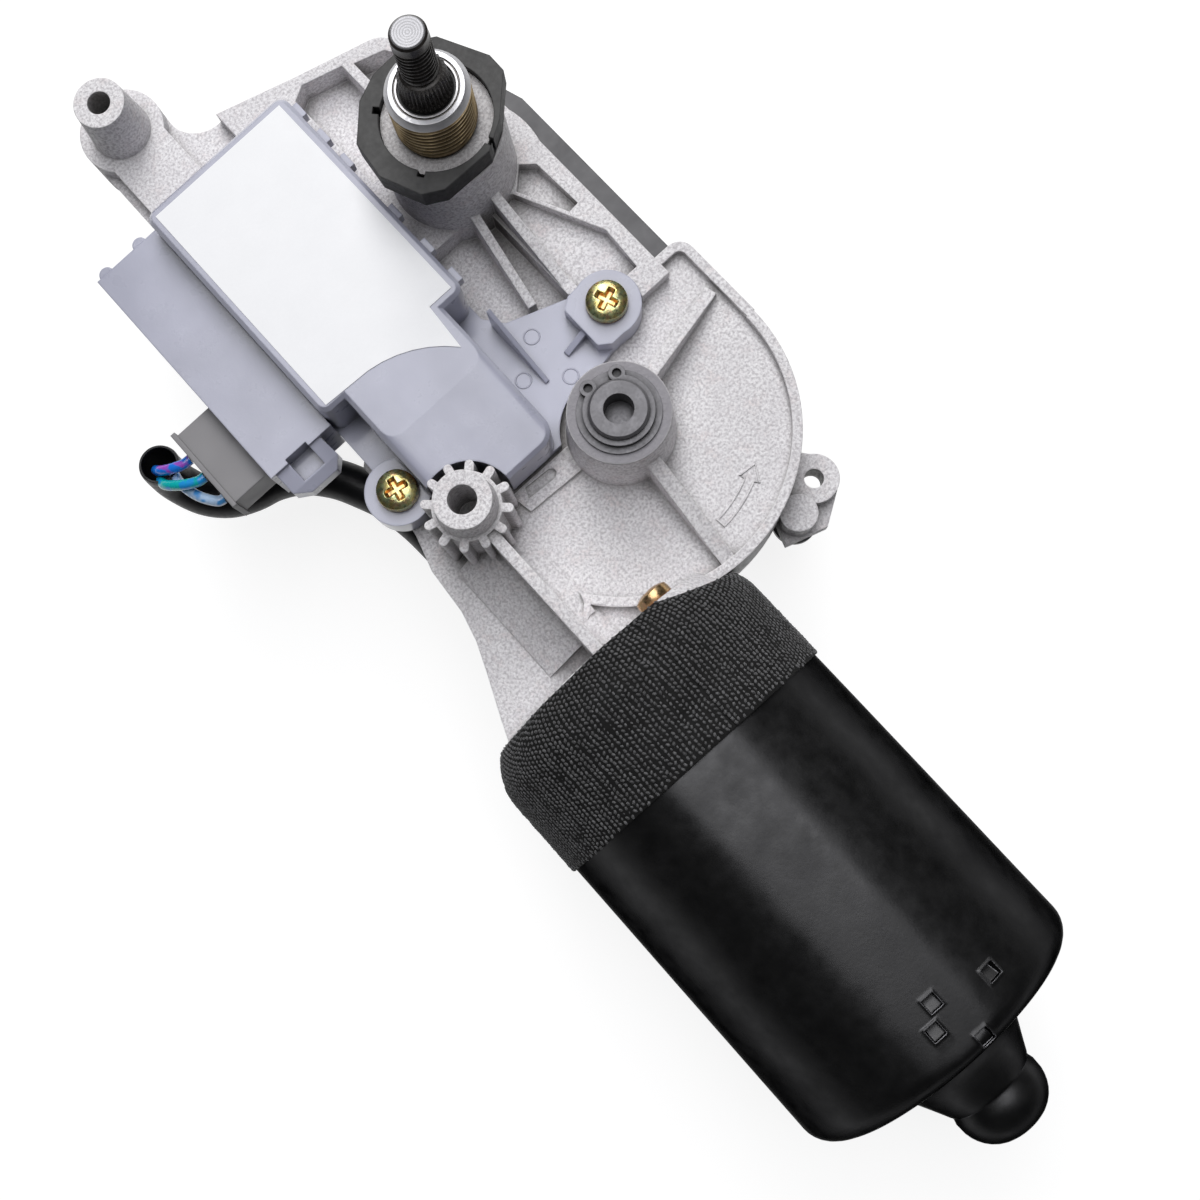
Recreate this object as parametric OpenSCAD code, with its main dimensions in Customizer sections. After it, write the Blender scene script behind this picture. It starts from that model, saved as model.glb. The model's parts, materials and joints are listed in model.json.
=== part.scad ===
// Rear wiper motor: worm gearbox, crank and rod drive, electronics case and permanent magnet motor.
// Origin on the spindle's axis at the machined face of its tower. +Z runs out along the spindle, -Y to the motor.

/* [Gear train] */
// Wheel axis from the spindle axis, across the gearbox
wheel_dx = 10; // [8:0.5:12]
// Wheel axis from the spindle axis, along the gearbox
wheel_dy = 54.4; // [53:0.2:58]
// Teeth on the worm wheel
wheel_teeth = 48; // [40:1:48]
// Axial module of the worm and its wheel
gear_module = 1; // [0.9:0.05:1]
// Face width of the worm wheel
wheel_w = 7; // [5:0.5:7]
// Pitch radius of the worm
worm_pitch_r = 4.5; // [4.2:0.1:4.8]
// Length of the worm's thread
worm_l = 26; // [20:1:28]
// Backlash between worm and wheel, measured along the pitch line
backlash = 0.5; // [0.4:0.05:0.7]
// Radius of the crank pin's circle on the wheel
crank_r = 9; // [8.5:0.25:9.5]
// Radius of the crank pin
crank_pin_r = 2.5; // [2:0.1:2.8]
// Length of the spindle's lever between centres
lever_r = 10.5; // [10:0.25:10.8]
// Thickness of the lever
lever_t = 3; // [2.5:0.25:3.5]
// Radius of the pin between lever and rod
lever_pin_r = 2; // [1.6:0.1:2.2]
// Thickness of the drive rod
rod_t = 2.5; // [2:0.25:2.8]
// Width of the drive rod
rod_w = 5; // [4:0.5:5]
// Radius of the rod's eyes
rod_eye_r = 3.8; // [3.6:0.1:4.2]

/* [Spindle] */
// Radius of the wiper arm's thread
arm_thread_r = 3; // [2.5:0.25:3.4]
// Length of the arm's thread
arm_thread_l = 11.5; // [8:0.5:14]
// Height of the splined cone
cone_h = 5; // [4:0.5:7]
// Top radius of the splined cone
cone_top_r = 3.6; // [3.5:0.05:3.9]
// Radius of the spindle's shaft
spindle_r = 4.25; // [4.1:0.05:4.5]
// Outer radius of the threaded sleeve
sleeve_r = 6.9; // [6.6:0.1:7.4]
// Radius of the sleeve's shank inside the tower
shank_r = 6.4; // [6:0.1:6.5]
// Length of sleeve above the tower's face
sleeve_h = 11.3; // [9:0.5:14]
// Length of sleeve pressed into the tower
sleeve_seat = 14; // [8:1:18]
// Wall of the spindle's plain bushes
bush_wall = 1; // [0.8:0.1:1.2]

/* [Gearbox casting] */
// Depth of the wheel chamber's top face below the tower's face
flange_z = 22; // [21:0.5:23]
// Depth of the casting's open back below the tower's face
back_z = 37; // [37:0.25:38]
// Wall over the worm wheel
roof_t = 2.6; // [2:0.1:2.8]
// Side wall of the wheel chamber
wall_t = 3.4; // [2.5:0.1:4]
// Gap between the wheel's teeth and the chamber's wall
wheel_gap = 2; // [1:0.1:2.5]
// Radius of the tower round the spindle
tower_r = 10.8; // [10.4:0.1:11.4]
// Radius of the tower's spigot inside the seal
spigot_r = 9.4; // [9:0.1:9.8]
// Height of the tower's spigot
spigot_h = 3; // [2:0.5:4]
// Right side of the neck between chamber and tower
neck_x = 14.2; // [13.8:0.1:14.6]
// Wall round the lever's chamber
lever_wall = 1.5; // [1.3:0.1:1.8]
// Height of the rim round the chamber's top
rim_h = 1.6; // [1:0.1:2.4]
// Width of the rim
rim_w = 1.7; // [1.2:0.1:2.2]
// Top radius of the wheel shaft's boss
boss_r = 8.6; // [8:0.1:9.2]
// Depth of the boss's face below the tower's face
boss_z = 8.6; // [7:0.2:10]
// Radius of the wheel shaft
wheel_shaft_r = 5; // [4.5:0.1:5.2]
// Width of the cooling-fin post's teeth
fin_w = 1.5; // [1.2:0.1:1.7]
// Number of teeth round the fin post
fins = 12; // [8:1:14]
// Outer radius of the worm tunnel
tunnel_r = 8.4; // [8:0.1:8.5]
// Radius of the bore round the worm
tunnel_bore_r = 6.2; // [5.9:0.1:6.5]
// Thickness of the back cover's sheet
cover_t = 1.5; // [1:0.1:2]
// Thickness of the back cover's gasket
gasket_t = 0.4; // [0.3:0.1:0.6]

/* [Fixing points] */
// Hole radius at the arm's fixing boss
arm_hole_r = 2.1; // [1.8:0.1:2.5]
// Depth of the hole in the arm's fixing boss
arm_hole_l = 12; // [8:1:14]
// Hole radius in the fin post
post_hole_r = 2.4; // [2:0.1:2.6]
// Depth of the hole in the fin post
post_hole_l = 14; // [8:1:15]
// Hole radius of the ear beside the wheel chamber
ear_hole_r = 1.7; // [1.4:0.1:2]
// Thickness of the ear
ear_t = 3; // [2.5:0.5:4]

/* [Motor] */
// Outer radius of the motor can
can_r = 27; // [26:0.5:28]
// Wall of the motor can
can_t = 1.6; // [1.2:0.1:2]
// Where the can's open end meets the casting, measured along the motor axis from the spindle
can_front = 90; // [89:0.5:92]
// Length of the can without its bearing boss
can_l = 72.5; // [71:0.5:75]
// Corner radius at the can's closed end
can_corner = 4; // [3:0.5:6]
// Radius of the bearing boss on the can's end
can_boss_r = 8.2; // [8:0.2:9]
// Length of the bearing boss
can_boss_l = 18.5; // [17:0.5:20]
// Length of the cone that leads from the can's end to the boss
can_flare_l = 7.4; // [6:0.2:9]
// Width of that cone at its foot, beyond the boss
can_flare_w = 7.6; // [6:0.2:9]
// Radius of the armature shaft
shaft_r = 3; // [2.8:0.1:3]
// Air gap between the armature's laminations and the magnets
air_gap = 1.7; // [0.6:0.1:2.4]
// Length of the armature's laminations
core_l = 34; // [28:1:36]
// Slots in the laminations
core_slots = 10; // [8:1:12]
// Radial thickness of the magnets
magnet_t = 6.2; // [5:0.2:6.4]
// Radius of the commutator
commutator_r = 8; // [7:0.5:9]
// Width of the tape that is wound over the joint
tape_w = 22; // [16:1:24]
// Thickness of the wound tape
tape_t = 0.6; // [0.4:0.1:0.8]

/* [Electronics case] */
// Depth of the case's top face below the tower's face
case_top = 8; // [7:0.5:9]
// Width of the tall part of the case
case_w = 31.6; // [30:0.2:32]
// Length of the tall part of the case
case_l = 48; // [46:0.5:49]
// Wall of the case
case_t = 1.6; // [1.2:0.1:2]
// Thickness of the case's base
base_t = 2; // [1.6:0.1:2.4]
// Drop of the case's lower wing below the tall part's top
wing_drop = 2.5; // [1.5:0.25:4]
// Width of the connector hood
hood_w = 13.6; // [12.5:0.2:14]
// Length of the connector hood
hood_l = 48; // [46:0.5:48]
// Height of the connector hood
hood_h = 12; // [10.5:0.25:12]
// Radius of the case screws' heads
screw_head_r = 3.6; // [3:0.1:4]

/* [Harness] */
// Length of the plug that stands out of its hood
plug_out = 7.4; // [6:0.2:9]
// Width of the plug
plug_w = 16; // [14:0.5:17]
// Height of the plug
plug_h = 7; // [6:0.25:8]
// Radius of a lead wire
wire_r = 0.8; // [0.6:0.1:1]
// Radius of the harness sleeve
harness_r = 3.8; // [3.4:0.1:4]

/* [Hidden] */

// Clearances: running shaft, parts that move past each other, parts that only sit together
run = 0.03;
gap = 0.3;
seat = 0.05;
$fn = 64;

wheel_x = -wheel_dx;
wheel_y = -wheel_dy;
wheel_pitch_r = gear_module * wheel_teeth / 2;
worm_x = wheel_x - wheel_pitch_r - worm_pitch_r;
addendum = 0.9 * gear_module;
dedendum = 1.2 * gear_module;
worm_pitch = PI * gear_module;
worm_lead_angle = atan(worm_pitch / (2 * PI * worm_pitch_r));
wheel_top = -(flange_z + roof_t + gap);
wheel_bottom = wheel_top - wheel_w;
worm_z = wheel_top - wheel_w / 2;
chamber_r = wheel_pitch_r + addendum + wheel_gap;
housing_r = chamber_r + wall_t;
rod_top = wheel_bottom - 3 * gap;
rod_bottom = rod_top - rod_t;
lever_bottom = rod_top + gap;
lever_top = lever_bottom + lever_t;
lever_chamber_r = lever_r + rod_eye_r + 2 * gap;
lever_chamber_top = lever_top + 0.8;

// Dead centre of the linkage, where crank and rod lie on one line: the park position
reach = norm([wheel_dx, wheel_dy]);
rod_l = sqrt(crank_r * crank_r + reach * reach - lever_r * lever_r);
folded = rod_l - crank_r;
park = acos((reach * reach + lever_r * lever_r - folded * folded) / (2 * reach * lever_r));
wheel_bearing = atan2(wheel_y, wheel_x);
lever_a = wheel_bearing + park;
lever_p = lever_r * [cos(lever_a), sin(lever_a)];
rod_dir = ([wheel_x, wheel_y] - lever_p) / norm([wheel_x, wheel_y] - lever_p);
crank_p = [wheel_x, wheel_y] + crank_r * rod_dir;
rod_a = atan2(rod_dir[1], rod_dir[0]);

// Casting: heights of its webs and floors, and the outline points that the photograph shows
web_z = -19;
floor_z = -24.5;
sleeve_lip = 1.4;
frame_bottom = -30;
corner_x = 20.5;
corner_y = -36;
corner_r = 3;
arm_boss = [-38.5, 48];
arm_boss_r = 4.6;
arm_pad_r = 7.9;
arm_boss_top = -8;
post_y = -49.6;
post_top = -0.5;
post_r = 4.8;
fin_top = -6;
fin_root_r = 5.8;
fin_tip_r = 7.6;
facet_top = -17.2;
ear_p = [10, -81.6];
ear_r = 4.4;
ear_step = 3;
flange_t = 5;
shelf_z = -21.6;
arm_hollow = 4;
chamber_roof = 3;
pillar_r = 3.6;
pillar_h = 3;
motor_face = can_front - 8;
bell_front = motor_face - 1;
bell_front_r = can_r - 4.5;
bell_r = can_r - 0.1;
spigot_l = 3;
spigot_bore_r = can_r - can_t - 3.4;
rod_way = [-wheel_dx - 1.5, lever_r + rod_w / 2 - 1];
tunnel_start = 27;
bush_start = 32;
bush_l = 6.5;
ball_r = 1.5;
worm_bush_wall = 1.5;
front_bearing_r = 9;
front_bearing_l = 6;
cover_screw_r = 1.5;
cover_screw_l = 6;
cover_z = -back_z - gasket_t;
can_end = can_front + can_l;
flare_end = can_end + can_flare_l;
can_in_r = can_r - can_t;
can_flat = can_r - 0.7;
core_r = can_in_r - magnet_t - air_gap;
brush_l = 7;
spring_turns = 4;
spring_pitch = 1.2;
guide_end = commutator_r + brush_l + spring_turns * spring_pitch + 0.8;
ear_z = can_front + spigot_l + 0.2;
commutator_z = can_front + 2;
brush_z = commutator_z + 2;
holder_z = commutator_z + 8.6;
core_z = can_front + 19.5;
motor_screw_p = [[12.6, 14.6], [-12.6, -14.6]];
cover_screw_p = [[17, -39.6], [-13.8, -20], [8, 22], [-8, 22], [3.6, -84.4], [-31.6, -33]];

// Case: plan of the tall part, its wing, and the two screw lugs
case_right = -14.4;
case_left = case_right - case_w;
case_front = -21.5;
case_back = case_front + case_l;
case_z = -case_top;
latch_y = concat([for (d = [3.8, 10.3, 16.5]) case_back - d], [for (d = [3.5, 10.5, 18.9]) case_front + d]);
base_top = -flange_z + base_t;
wing_x = [-41.3, -19.2];
wing_y = -49.8;
wing_r = 3.5;
wing_bend = -30;
lug_p = [[2.4, -37.4], [-45.1, -37.4]];
lug_r = 5.9;
lug_top = -16.5;
board_z = base_top + 2.4;
board_t = 1.6;
hood_front = case_back - hood_l;
hood_right = case_left - seat;
hood_left = hood_right - hood_w;
hood_top = -14;
plug_lip = 0.9;
plug_y = -11.3;
pin_pitch = 3.4;
plug_z = -20.5;
screw_r = 2;
case_screw_l = 7.4;

// Harness routes: round points chosen by hand
sleeve_route = [[-73.4, -2.6, -22.5], [-73.8, -2.9, -26], [-73.7, -4.8, -29.8], [-72, -8.8, -32.6],
  [-69, -12, -34], [-65, -14, -34.6], [-60.5, -15.3, -34.8], [-56, -18, -35], [-52, -22.6, -35.5],
  [-49.4, -27.5, -36.6], [-47.6, -32, -37.6], [-46.4, -38, -38.4], [-46, -45, -38.8], [-46, -53, -38.8],
  [-46, -61.5, -38.8], [-45.2, -68, -39.8], [-43.6, -73.6, -41.2], [-43.4, -76, -41.3]];
wire_up = [0, 1, -1];
wire_mouth = [[-74.6, -2.6, -24], [-75.2, -4.6, -24], [-72.6, -5.2, -24]];

// Round arc as points, for outlines
function arc(c, r, a0, a1, n) = [for (i = [0:n]) c + r * [cos(a0 + (a1 - a0) * i / n), sin(a0 + (a1 - a0) * i / n)]];

// Ring of a swept tube, square to the direction t
function ring(p, t, r, n) =
  let (s = cross(t, [0, 0, 1]) / norm(cross(t, [0, 0, 1])), u = cross(s, t))
  [for (i = [0:n - 1]) p + r * (cos(360 * i / n) * s + sin(360 * i / n) * u)];

function heading(route, i) =
  let (a = route[max(i - 1, 0)], b = route[min(i + 1, len(route) - 1)])
  (b - a) / norm(b - a);

// Tube of n sides along a route
module tube(route, r, n) {
  rings = [for (i = [0:len(route) - 1]) each ring(route[i], heading(route, i), r, n)];
  m = len(route);
  sides = [for (i = [0:m - 2], j = [0:n - 1])
    [i * n + j, i * n + (j + 1) % n, (i + 1) * n + (j + 1) % n, (i + 1) * n + j]];
  polyhedron(rings, concat([[for (j = [n - 1:-1:0]) j]], sides, [[for (j = [0:n - 1]) (m - 1) * n + j]]));
}

// Solid of revolution about the motor's axis, from points of radius and distance along -Y
module about_motor(points, fn = 96) {
  translate([worm_x, 0, worm_z]) rotate([90, 0, 0]) rotate_extrude($fn = fn) polygon(points);
}

// Straight bar between two points in plan, from height z0 to z1
module bar(a, b, w, z0, z1) {
  d = b - a;
  translate([a[0], a[1], z0]) rotate(atan2(d[1], d[0])) translate([0, -w / 2, 0])
    cube([norm(d), w, z1 - z0]);
}

// Rib whose top falls from za to zb between two points in plan
module rib(a, b, w, z0, za, zb) {
  d = b - a;
  translate([a[0], a[1], 0]) rotate([90, 0, atan2(d[1], d[0])]) translate([0, 0, -w / 2])
    linear_extrude(w) polygon([[0, z0], [norm(d), z0], [norm(d), zb], [0, za]]);
}

// Plan of the wheel chamber with its squared corner, drawn in by an inset
module chamber_plan(inset) {
  translate([wheel_x, wheel_y]) circle(housing_r - inset, $fn = 120);
  translate([wheel_x, wheel_y]) square([corner_x - wheel_x - inset, corner_y - corner_r - wheel_y]);
  translate([wheel_x, wheel_y]) square([corner_x - wheel_x - corner_r, corner_y - wheel_y - inset]);
  translate([corner_x - corner_r, corner_y - corner_r]) circle(corner_r - inset, $fn = 48);
}

// Plan of the neck and the frame at the tower's end, with the run out to the arm
module neck_plan() {
  translate([case_right - 2, corner_y - 4]) square([neck_x - case_right + 2, 4 - corner_y + 8]);
  polygon(concat([[case_right - 2, 8], [neck_x, 8], [neck_x, 17]], arc([3.5, 24], 5, 10, 70, 6),
    [[-9, 33], [-16.5, 35.5], [-24, 38], [-24, 30]]));
}

// Plan of the arm from the neck to its fixing boss
module arm_plan() {
  translate(arm_boss) circle(arm_pad_r);
  polygon(concat([[-24, 38]], arc([-24.5, 44.5], 6.5, 265, 190, 8), [[arm_boss[0] + arm_pad_r - 0.3, arm_boss[1]],
    [arm_boss[0] - arm_pad_r + 0.3, arm_boss[1]], [arm_boss[0] - arm_pad_r + 0.3, 30], [-22, 4],
    [case_right - 2, 4], [case_right - 2, 30]]));
}

// Left flange beside the worm tunnel, as the photograph outlines it
module flange_plan() {
  polygon([[-36, -34], [-46, -34], [-48, -44], [-50, -50.4], [-50.8, -59], [-52.3, -64.5], [-54.4, -69.4],
    [-58, -77.3], [-60, -motor_face], [-20, -motor_face], [-20, -60]]);
}

// Wheel chamber with its squared corner, its top face recessed inside a rim
module wheel_chamber() difference() {
  translate([0, 0, -back_z]) linear_extrude(back_z - flange_z + rim_h) chamber_plan(0);
  translate([0, 0, -flange_z]) linear_extrude(rim_h + 1) {
    chamber_plan(rim_w);
    polygon([[-40, -60], [-40, -73], [-34.8, -73], [-30, -60]]);
  }
}

// Neck between wheel chamber and tower, the lever's chamber below it and the tower itself
module neck_and_tower() {
  translate([0, 0, -back_z]) cylinder(r = lever_chamber_r + lever_wall, h = back_z + lever_chamber_top + chamber_roof);
  translate([0, 0, frame_bottom]) linear_extrude(web_z - frame_bottom) neck_plan();
  translate([case_right - 2, corner_y - 4, -back_z])
    cube([neck_x - 0.6 - case_right + 2, 10 - corner_y, back_z + web_z - 1]);
  translate([0, 0, floor_z]) cylinder(r1 = tower_r + 0.6, r2 = tower_r, h = -floor_z - spigot_h);
  translate([0, 0, -spigot_h]) cylinder(r = spigot_r, h = spigot_h);
}

// Arm that runs out to the far fixing boss
module arm() {
  translate([0, 0, frame_bottom]) linear_extrude(-flange_z - frame_bottom) arm_plan();
  bar([arm_boss[0], arm_boss[1] - 2], [arm_boss[0], 31], 12, frame_bottom, web_z);
  translate([arm_boss[0], arm_boss[1], frame_bottom]) cylinder(r = arm_pad_r, h = web_z - frame_bottom);
  translate([arm_boss[0], arm_boss[1], web_z])
    cylinder(r1 = arm_boss_r + 0.9, r2 = arm_boss_r, h = arm_boss_top - web_z);
}

// Worm tunnel with its side flange, and the bell with the spigot that the motor can slides over
module tunnel_and_bell() {
  about_motor([[0, tunnel_start], [tunnel_r, tunnel_start], [tunnel_r, motor_face], [0, motor_face]], 64);
  translate([0, 0, -flange_z - flange_t]) linear_extrude(flange_t) flange_plan();
  about_motor([[0, bell_front], [bell_front_r, bell_front], [bell_r - 1.2, can_front - 4], [bell_r, can_front - 2],
    [bell_r, can_front], [can_in_r - seat, can_front], [can_in_r - seat, can_front + spigot_l],
    [0, can_front + spigot_l]]);
}

// Plan of the finned post: a round core with round-ended teeth
module fin_plan() {
  circle(fin_root_r);
  for (i = [0:fins - 1]) rotate(360 / fins * (i + 0.5)) {
    translate([0, -fin_w / 2]) square([fin_tip_r - fin_w / 2, fin_w]);
    translate([fin_tip_r - fin_w / 2, 0]) circle(fin_w / 2, $fn = 24);
  }
}

// Finned post over the worm, and the web that runs from it to the bell
module fin_post() {
  low = worm_z + 1;
  translate([worm_x, post_y, low]) linear_extrude(fin_top - low) fin_plan();
  translate([worm_x, post_y, fin_top - 1]) cylinder(r1 = post_r + 0.5, r2 = post_r, h = post_top - fin_top + 1);
  rib([worm_x, post_y], [worm_x, -motor_face], 2, low, fin_top - 1, fin_top - 1.5);
  // Sloping side of the tunnel, left of the web
  translate([worm_x, post_y - 4, 0]) rotate([90, 0, 0]) linear_extrude(motor_face + post_y - 8.5)
    polygon([[-8.5, -flange_z - 1], [-8.5, -flange_z + 0.3], [-2, facet_top], [0, facet_top], [0, -flange_z - 1]]);
}

// Low pad beside the post, with a slot sunk into it
module slotted_pad() difference() {
  translate([0, 0, -flange_z - 1]) linear_extrude(1.8) polygon([[-19.5, -54.8], [-30.6, -54.3], [-31.3, wing_y - gap], [-18.2, wing_y - gap]]);
  translate([0, 0, -flange_z + 0.2]) linear_extrude(1)
    polygon([[-28.6, -50.6], [-23.4, -50.9], [-22.8, -51.4], [-22.8, -52.2], [-23.6, -52.8], [-29.4, -52.4]]);
}

// Ear beside the wheel chamber, in two steps
module ear() {
  translate([ear_p[0], ear_p[1], -back_z]) cylinder(r = ear_r, h = ear_t + ear_step);
  bar(ear_p, ear_p + [-8, 10], 2 * ear_r - 0.4, -back_z, -back_z + ear_t + ear_step);
  translate([0, 0, -back_z]) linear_extrude(ear_t)
    polygon([[2, -78], [-1, -86.8], [6.5, -89.2], [12.3, -85.5], [14.6, -81], [12, -76]]);
}

// Plan of the case's base: tall part, wing, flange and lugs, drawn out by g
module base_plan(g) difference() {
  union() {
    translate([case_left - g, case_front - g]) square([case_w + 2 * g, case_l + 2 * g]);
    polygon([[case_left - g, case_front + 5], [case_right + g, case_front + 5], [case_right + g, case_front - 2],
      [-11.8 + g, -27], [lug_p[0][0], lug_p[0][1] + lug_r - 1 + g], [lug_p[0][0], lug_p[0][1] - lug_r + 1 - g],
      [-7.5, -44.5 - g], [-13, -47 - g], [-19, -49.5 - g],
      [-36, -49.5 - g], [case_left - g, -42]]);
    for (p = lug_p) translate(p) circle(lug_r + g);
  }
  translate([wheel_x, wheel_y]) circle(boss_r + 1.8 - g);
  translate([worm_x, post_y]) circle(fin_tip_r + 0.8 - g);
}

// Pockets in the webs round the tower: outline, and height of the floor
module pocket(points, z) {
  translate([0, 0, z]) linear_extrude(-z) difference() {
    polygon(points);
    circle(tower_r + 0.4);
  }
}

module pockets() {
  pocket([[8.7, -7.5], [11, -9.6], [11.4, -19.9], [9.3, -20.1], [5.1, -10.9]], shelf_z);
  pocket([[1.6, -9], [4.4, -10.8], [11.6, -26.9], [11, -35.4], [1.2, -35.4]], shelf_z);
  pocket([[-0.8, -9], [-0.8, -35], [case_right, -35], [case_right, -9]], floor_z);
  pocket([[-12, 8], [-1.6, 8], [-1.6, 28.6], [-9.2, 31], [-12, 29.5]], floor_z);
  pocket([[0.2, 8], [11.6, 8], [11.6, 16], [5.8, 25.4], [0.2, 27.4]], floor_z);
  // Underside of the arm
  translate([0, 0, frame_bottom - 1]) linear_extrude(arm_hollow + 1)
    polygon([[-43, 28], [-43, 42], [-34, 42], [-34, 34], [-24, 27], [-18, 10]]);
}

// Ribs that run down from the tower, and out from the wheel shaft's boss to the rim
module casting_ribs() {
  rib([0.9, -8], [0.2, lug_p[0][1] + lug_r + 2 * gap], 1.8, floor_z - 1, -12, -19.5);
  rib([-3.4, -9], [-6.3, -27.6], 1.6, floor_z - 1, -15, -21);
  for (q = [[[17.6, -46.8], 2.2], [[8.4, -76.4], 2.8], [[-12, -83], 2.6]])
    rib([wheel_x, wheel_y], q[0], q[1], -flange_z - 1, -boss_z - 2, -flange_z + rim_h - 0.3);
}

// Chambers, bores and holes that are cut out of the casting
module casting_cuts() {
  // Wheel chamber, rod way and lever chamber, open at the back
  translate([wheel_x, wheel_y, -back_z - 1]) cylinder(r = chamber_r, h = back_z + 1 - flange_z - roof_t);
  translate([rod_way[0], corner_y - 5, -back_z - 1]) cube([rod_way[1] - rod_way[0], 31, back_z + 1 + lever_chamber_top]);
  translate([0, 0, -back_z - 1]) cylinder(r = lever_chamber_r, h = back_z + 1 + lever_chamber_top);
  // Spindle bore, the sleeve's seat and the bore of the wheel shaft's bush
  translate([0, 0, -back_z]) cylinder(r = spindle_r + bush_wall + seat, h = back_z + 1);
  translate([0, 0, -sleeve_seat - seat]) cylinder(r = shank_r + seat, h = sleeve_seat + 1);
  translate([wheel_x, wheel_y, -back_z]) cylinder(r = wheel_shaft_r + bush_wall + seat, h = back_z);
  // Bore along the motor's axis: thrust ball, bush, worm, front bearing and the spigot's hollow
  about_motor([[0, bush_start - 2 * ball_r], [ball_r + seat, bush_start - 2 * ball_r], [ball_r + seat, bush_start],
    [shaft_r + worm_bush_wall + seat, bush_start], [shaft_r + worm_bush_wall + seat, bush_start + bush_l],
    [tunnel_bore_r, bush_start + bush_l], [tunnel_bore_r, can_front - front_bearing_l],
    [front_bearing_r + seat, can_front - front_bearing_l], [front_bearing_r + seat, can_front + 0.2],
    [spigot_bore_r, can_front + 0.2], [spigot_bore_r, can_front + 20], [0, can_front + 20]]);
  for (p = motor_screw_p) translate([worm_x + p[0], -motor_face + 6, worm_z + p[1]]) rotate([90, 0, 0])
    cylinder(r = screw_r + seat, h = 20);
  // Fixing holes, and the holes of the case's and the cover's screws
  translate([arm_boss[0], arm_boss[1], arm_boss_top - arm_hole_l]) cylinder(r = arm_hole_r, h = arm_hole_l + 1);
  translate([worm_x, post_y, post_top - post_hole_l]) cylinder(r = post_hole_r, h = post_hole_l + 1);
  translate([ear_p[0], ear_p[1], -back_z - 1]) cylinder(r = ear_hole_r, h = ear_t + ear_step + 2);
  for (p = lug_p) translate([p[0], p[1], lug_top - case_screw_l - 0.3]) cylinder(r = screw_r + seat, h = 20);
  for (p = cover_screw_p) translate([p[0], p[1], -back_z - 1]) cylinder(r = cover_screw_r + seat, h = cover_screw_l);
}

module gear_housing() color([0.8, 0.8, 0.82]) difference() {
  union() {
    difference() {
      union() {
        wheel_chamber();
        neck_and_tower();
        arm();
        tunnel_and_bell();
        fin_post();
        slotted_pad();
        bar([worm_x, -73.6], [-34, -73.8], 1.2, -flange_z - 1, -flange_z + rim_h);
        ear();
        translate([wheel_x, wheel_y, -flange_z - 1]) cylinder(r1 = boss_r + 0.9, r2 = boss_r, h = flange_z + 1 - boss_z);
        for (p = cover_screw_p) translate([p[0], p[1], -back_z]) cylinder(r = 3.3, h = back_z + frame_bottom + 1);
      }
      // Seat of the electronics case
      translate([0, 0, -flange_z]) linear_extrude(flange_z) base_plan(gap);
      pockets();
    }
    casting_ribs();
    for (p = lug_p) translate([p[0], p[1], -flange_z - 1]) cylinder(r = pillar_r, h = pillar_h + 1);
  }
  casting_cuts();
}

// Room that the cover and its gasket leave for the bell
module bell_notch() {
  side = sqrt(bell_r * bell_r - (cover_z - worm_z) * (cover_z - worm_z));
  translate([worm_x - side, -can_front]) square([2 * side + gap, can_front - bell_front + gap]);
}

// Plan of the back cover's sheet
module cover_plan(inset) {
  translate([wheel_x, wheel_y]) circle(housing_r - 0.4 - inset);
  translate([wheel_x, wheel_y]) square([corner_x - wheel_x - 0.4 - inset, corner_y - wheel_y]);
  polygon([[-17 + inset, -34], [22 - inset, -34], [22 - inset, 9], [17 - inset, 26 - inset], [9, 28.5 - inset],
    [-9, 28.5 - inset], [-13 + inset, 24]]);
}

module back_cover() color([0.36, 0.37, 0.39]) difference() {
  translate([0, 0, cover_z - cover_t]) linear_extrude(cover_t) {
    difference() {
      cover_plan(0);
      bell_notch();
    }
    for (p = cover_screw_p) translate(p) circle(4, $fn = 32);
  }
  for (p = cover_screw_p) translate([p[0], p[1], cover_z - cover_t - 1]) cylinder(r = 1.6, h = 4, $fn = 32);
}

module cover_gasket() color([0.12, 0.12, 0.13]) translate([0, 0, cover_z]) linear_extrude(gasket_t) difference() {
  union() {
    translate([wheel_x, wheel_y]) circle(housing_r - 0.6);
    translate([-13, -40]) square([26, 40]);
    circle(lever_chamber_r + lever_wall - 0.2);
  }
  translate([wheel_x, wheel_y]) circle(chamber_r + 0.3);
  translate([-11.3, -41]) square([22.6, 37]);
  circle(lever_chamber_r + 0.2);
  bell_notch();
  for (p = cover_screw_p) translate(p) circle(1.7, $fn = 32);
}

// Small pan-head screw pointing up, head underneath
module cover_screw() {
  translate([0, 0, cover_z - cover_t - 2]) cylinder(r = 2.8, h = 2, $fn = 32);
  translate([0, 0, cover_z - cover_t - 1]) cylinder(r = cover_screw_r, h = cover_screw_l, $fn = 32);
}

module cover_screws() color([0.72, 0.66, 0.42]) for (p = cover_screw_p) translate(p) cover_screw();

// Tube of wall between two radii
module sleeve_ring(ri, ro, z0, z1) {
  translate([0, 0, z0]) difference() {
    cylinder(r = ro, h = z1 - z0);
    translate([0, 0, -1]) cylinder(r = ri, h = z1 - z0 + 2);
  }
}

module spindle_bushes() color([0.7, 0.55, 0.35]) {
  sleeve_ring(spindle_r + run, spindle_r + bush_wall, 1, sleeve_h - 2.2);
  sleeve_ring(spindle_r + run, spindle_r + bush_wall, lever_chamber_top, -sleeve_seat - 1);
}

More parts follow.
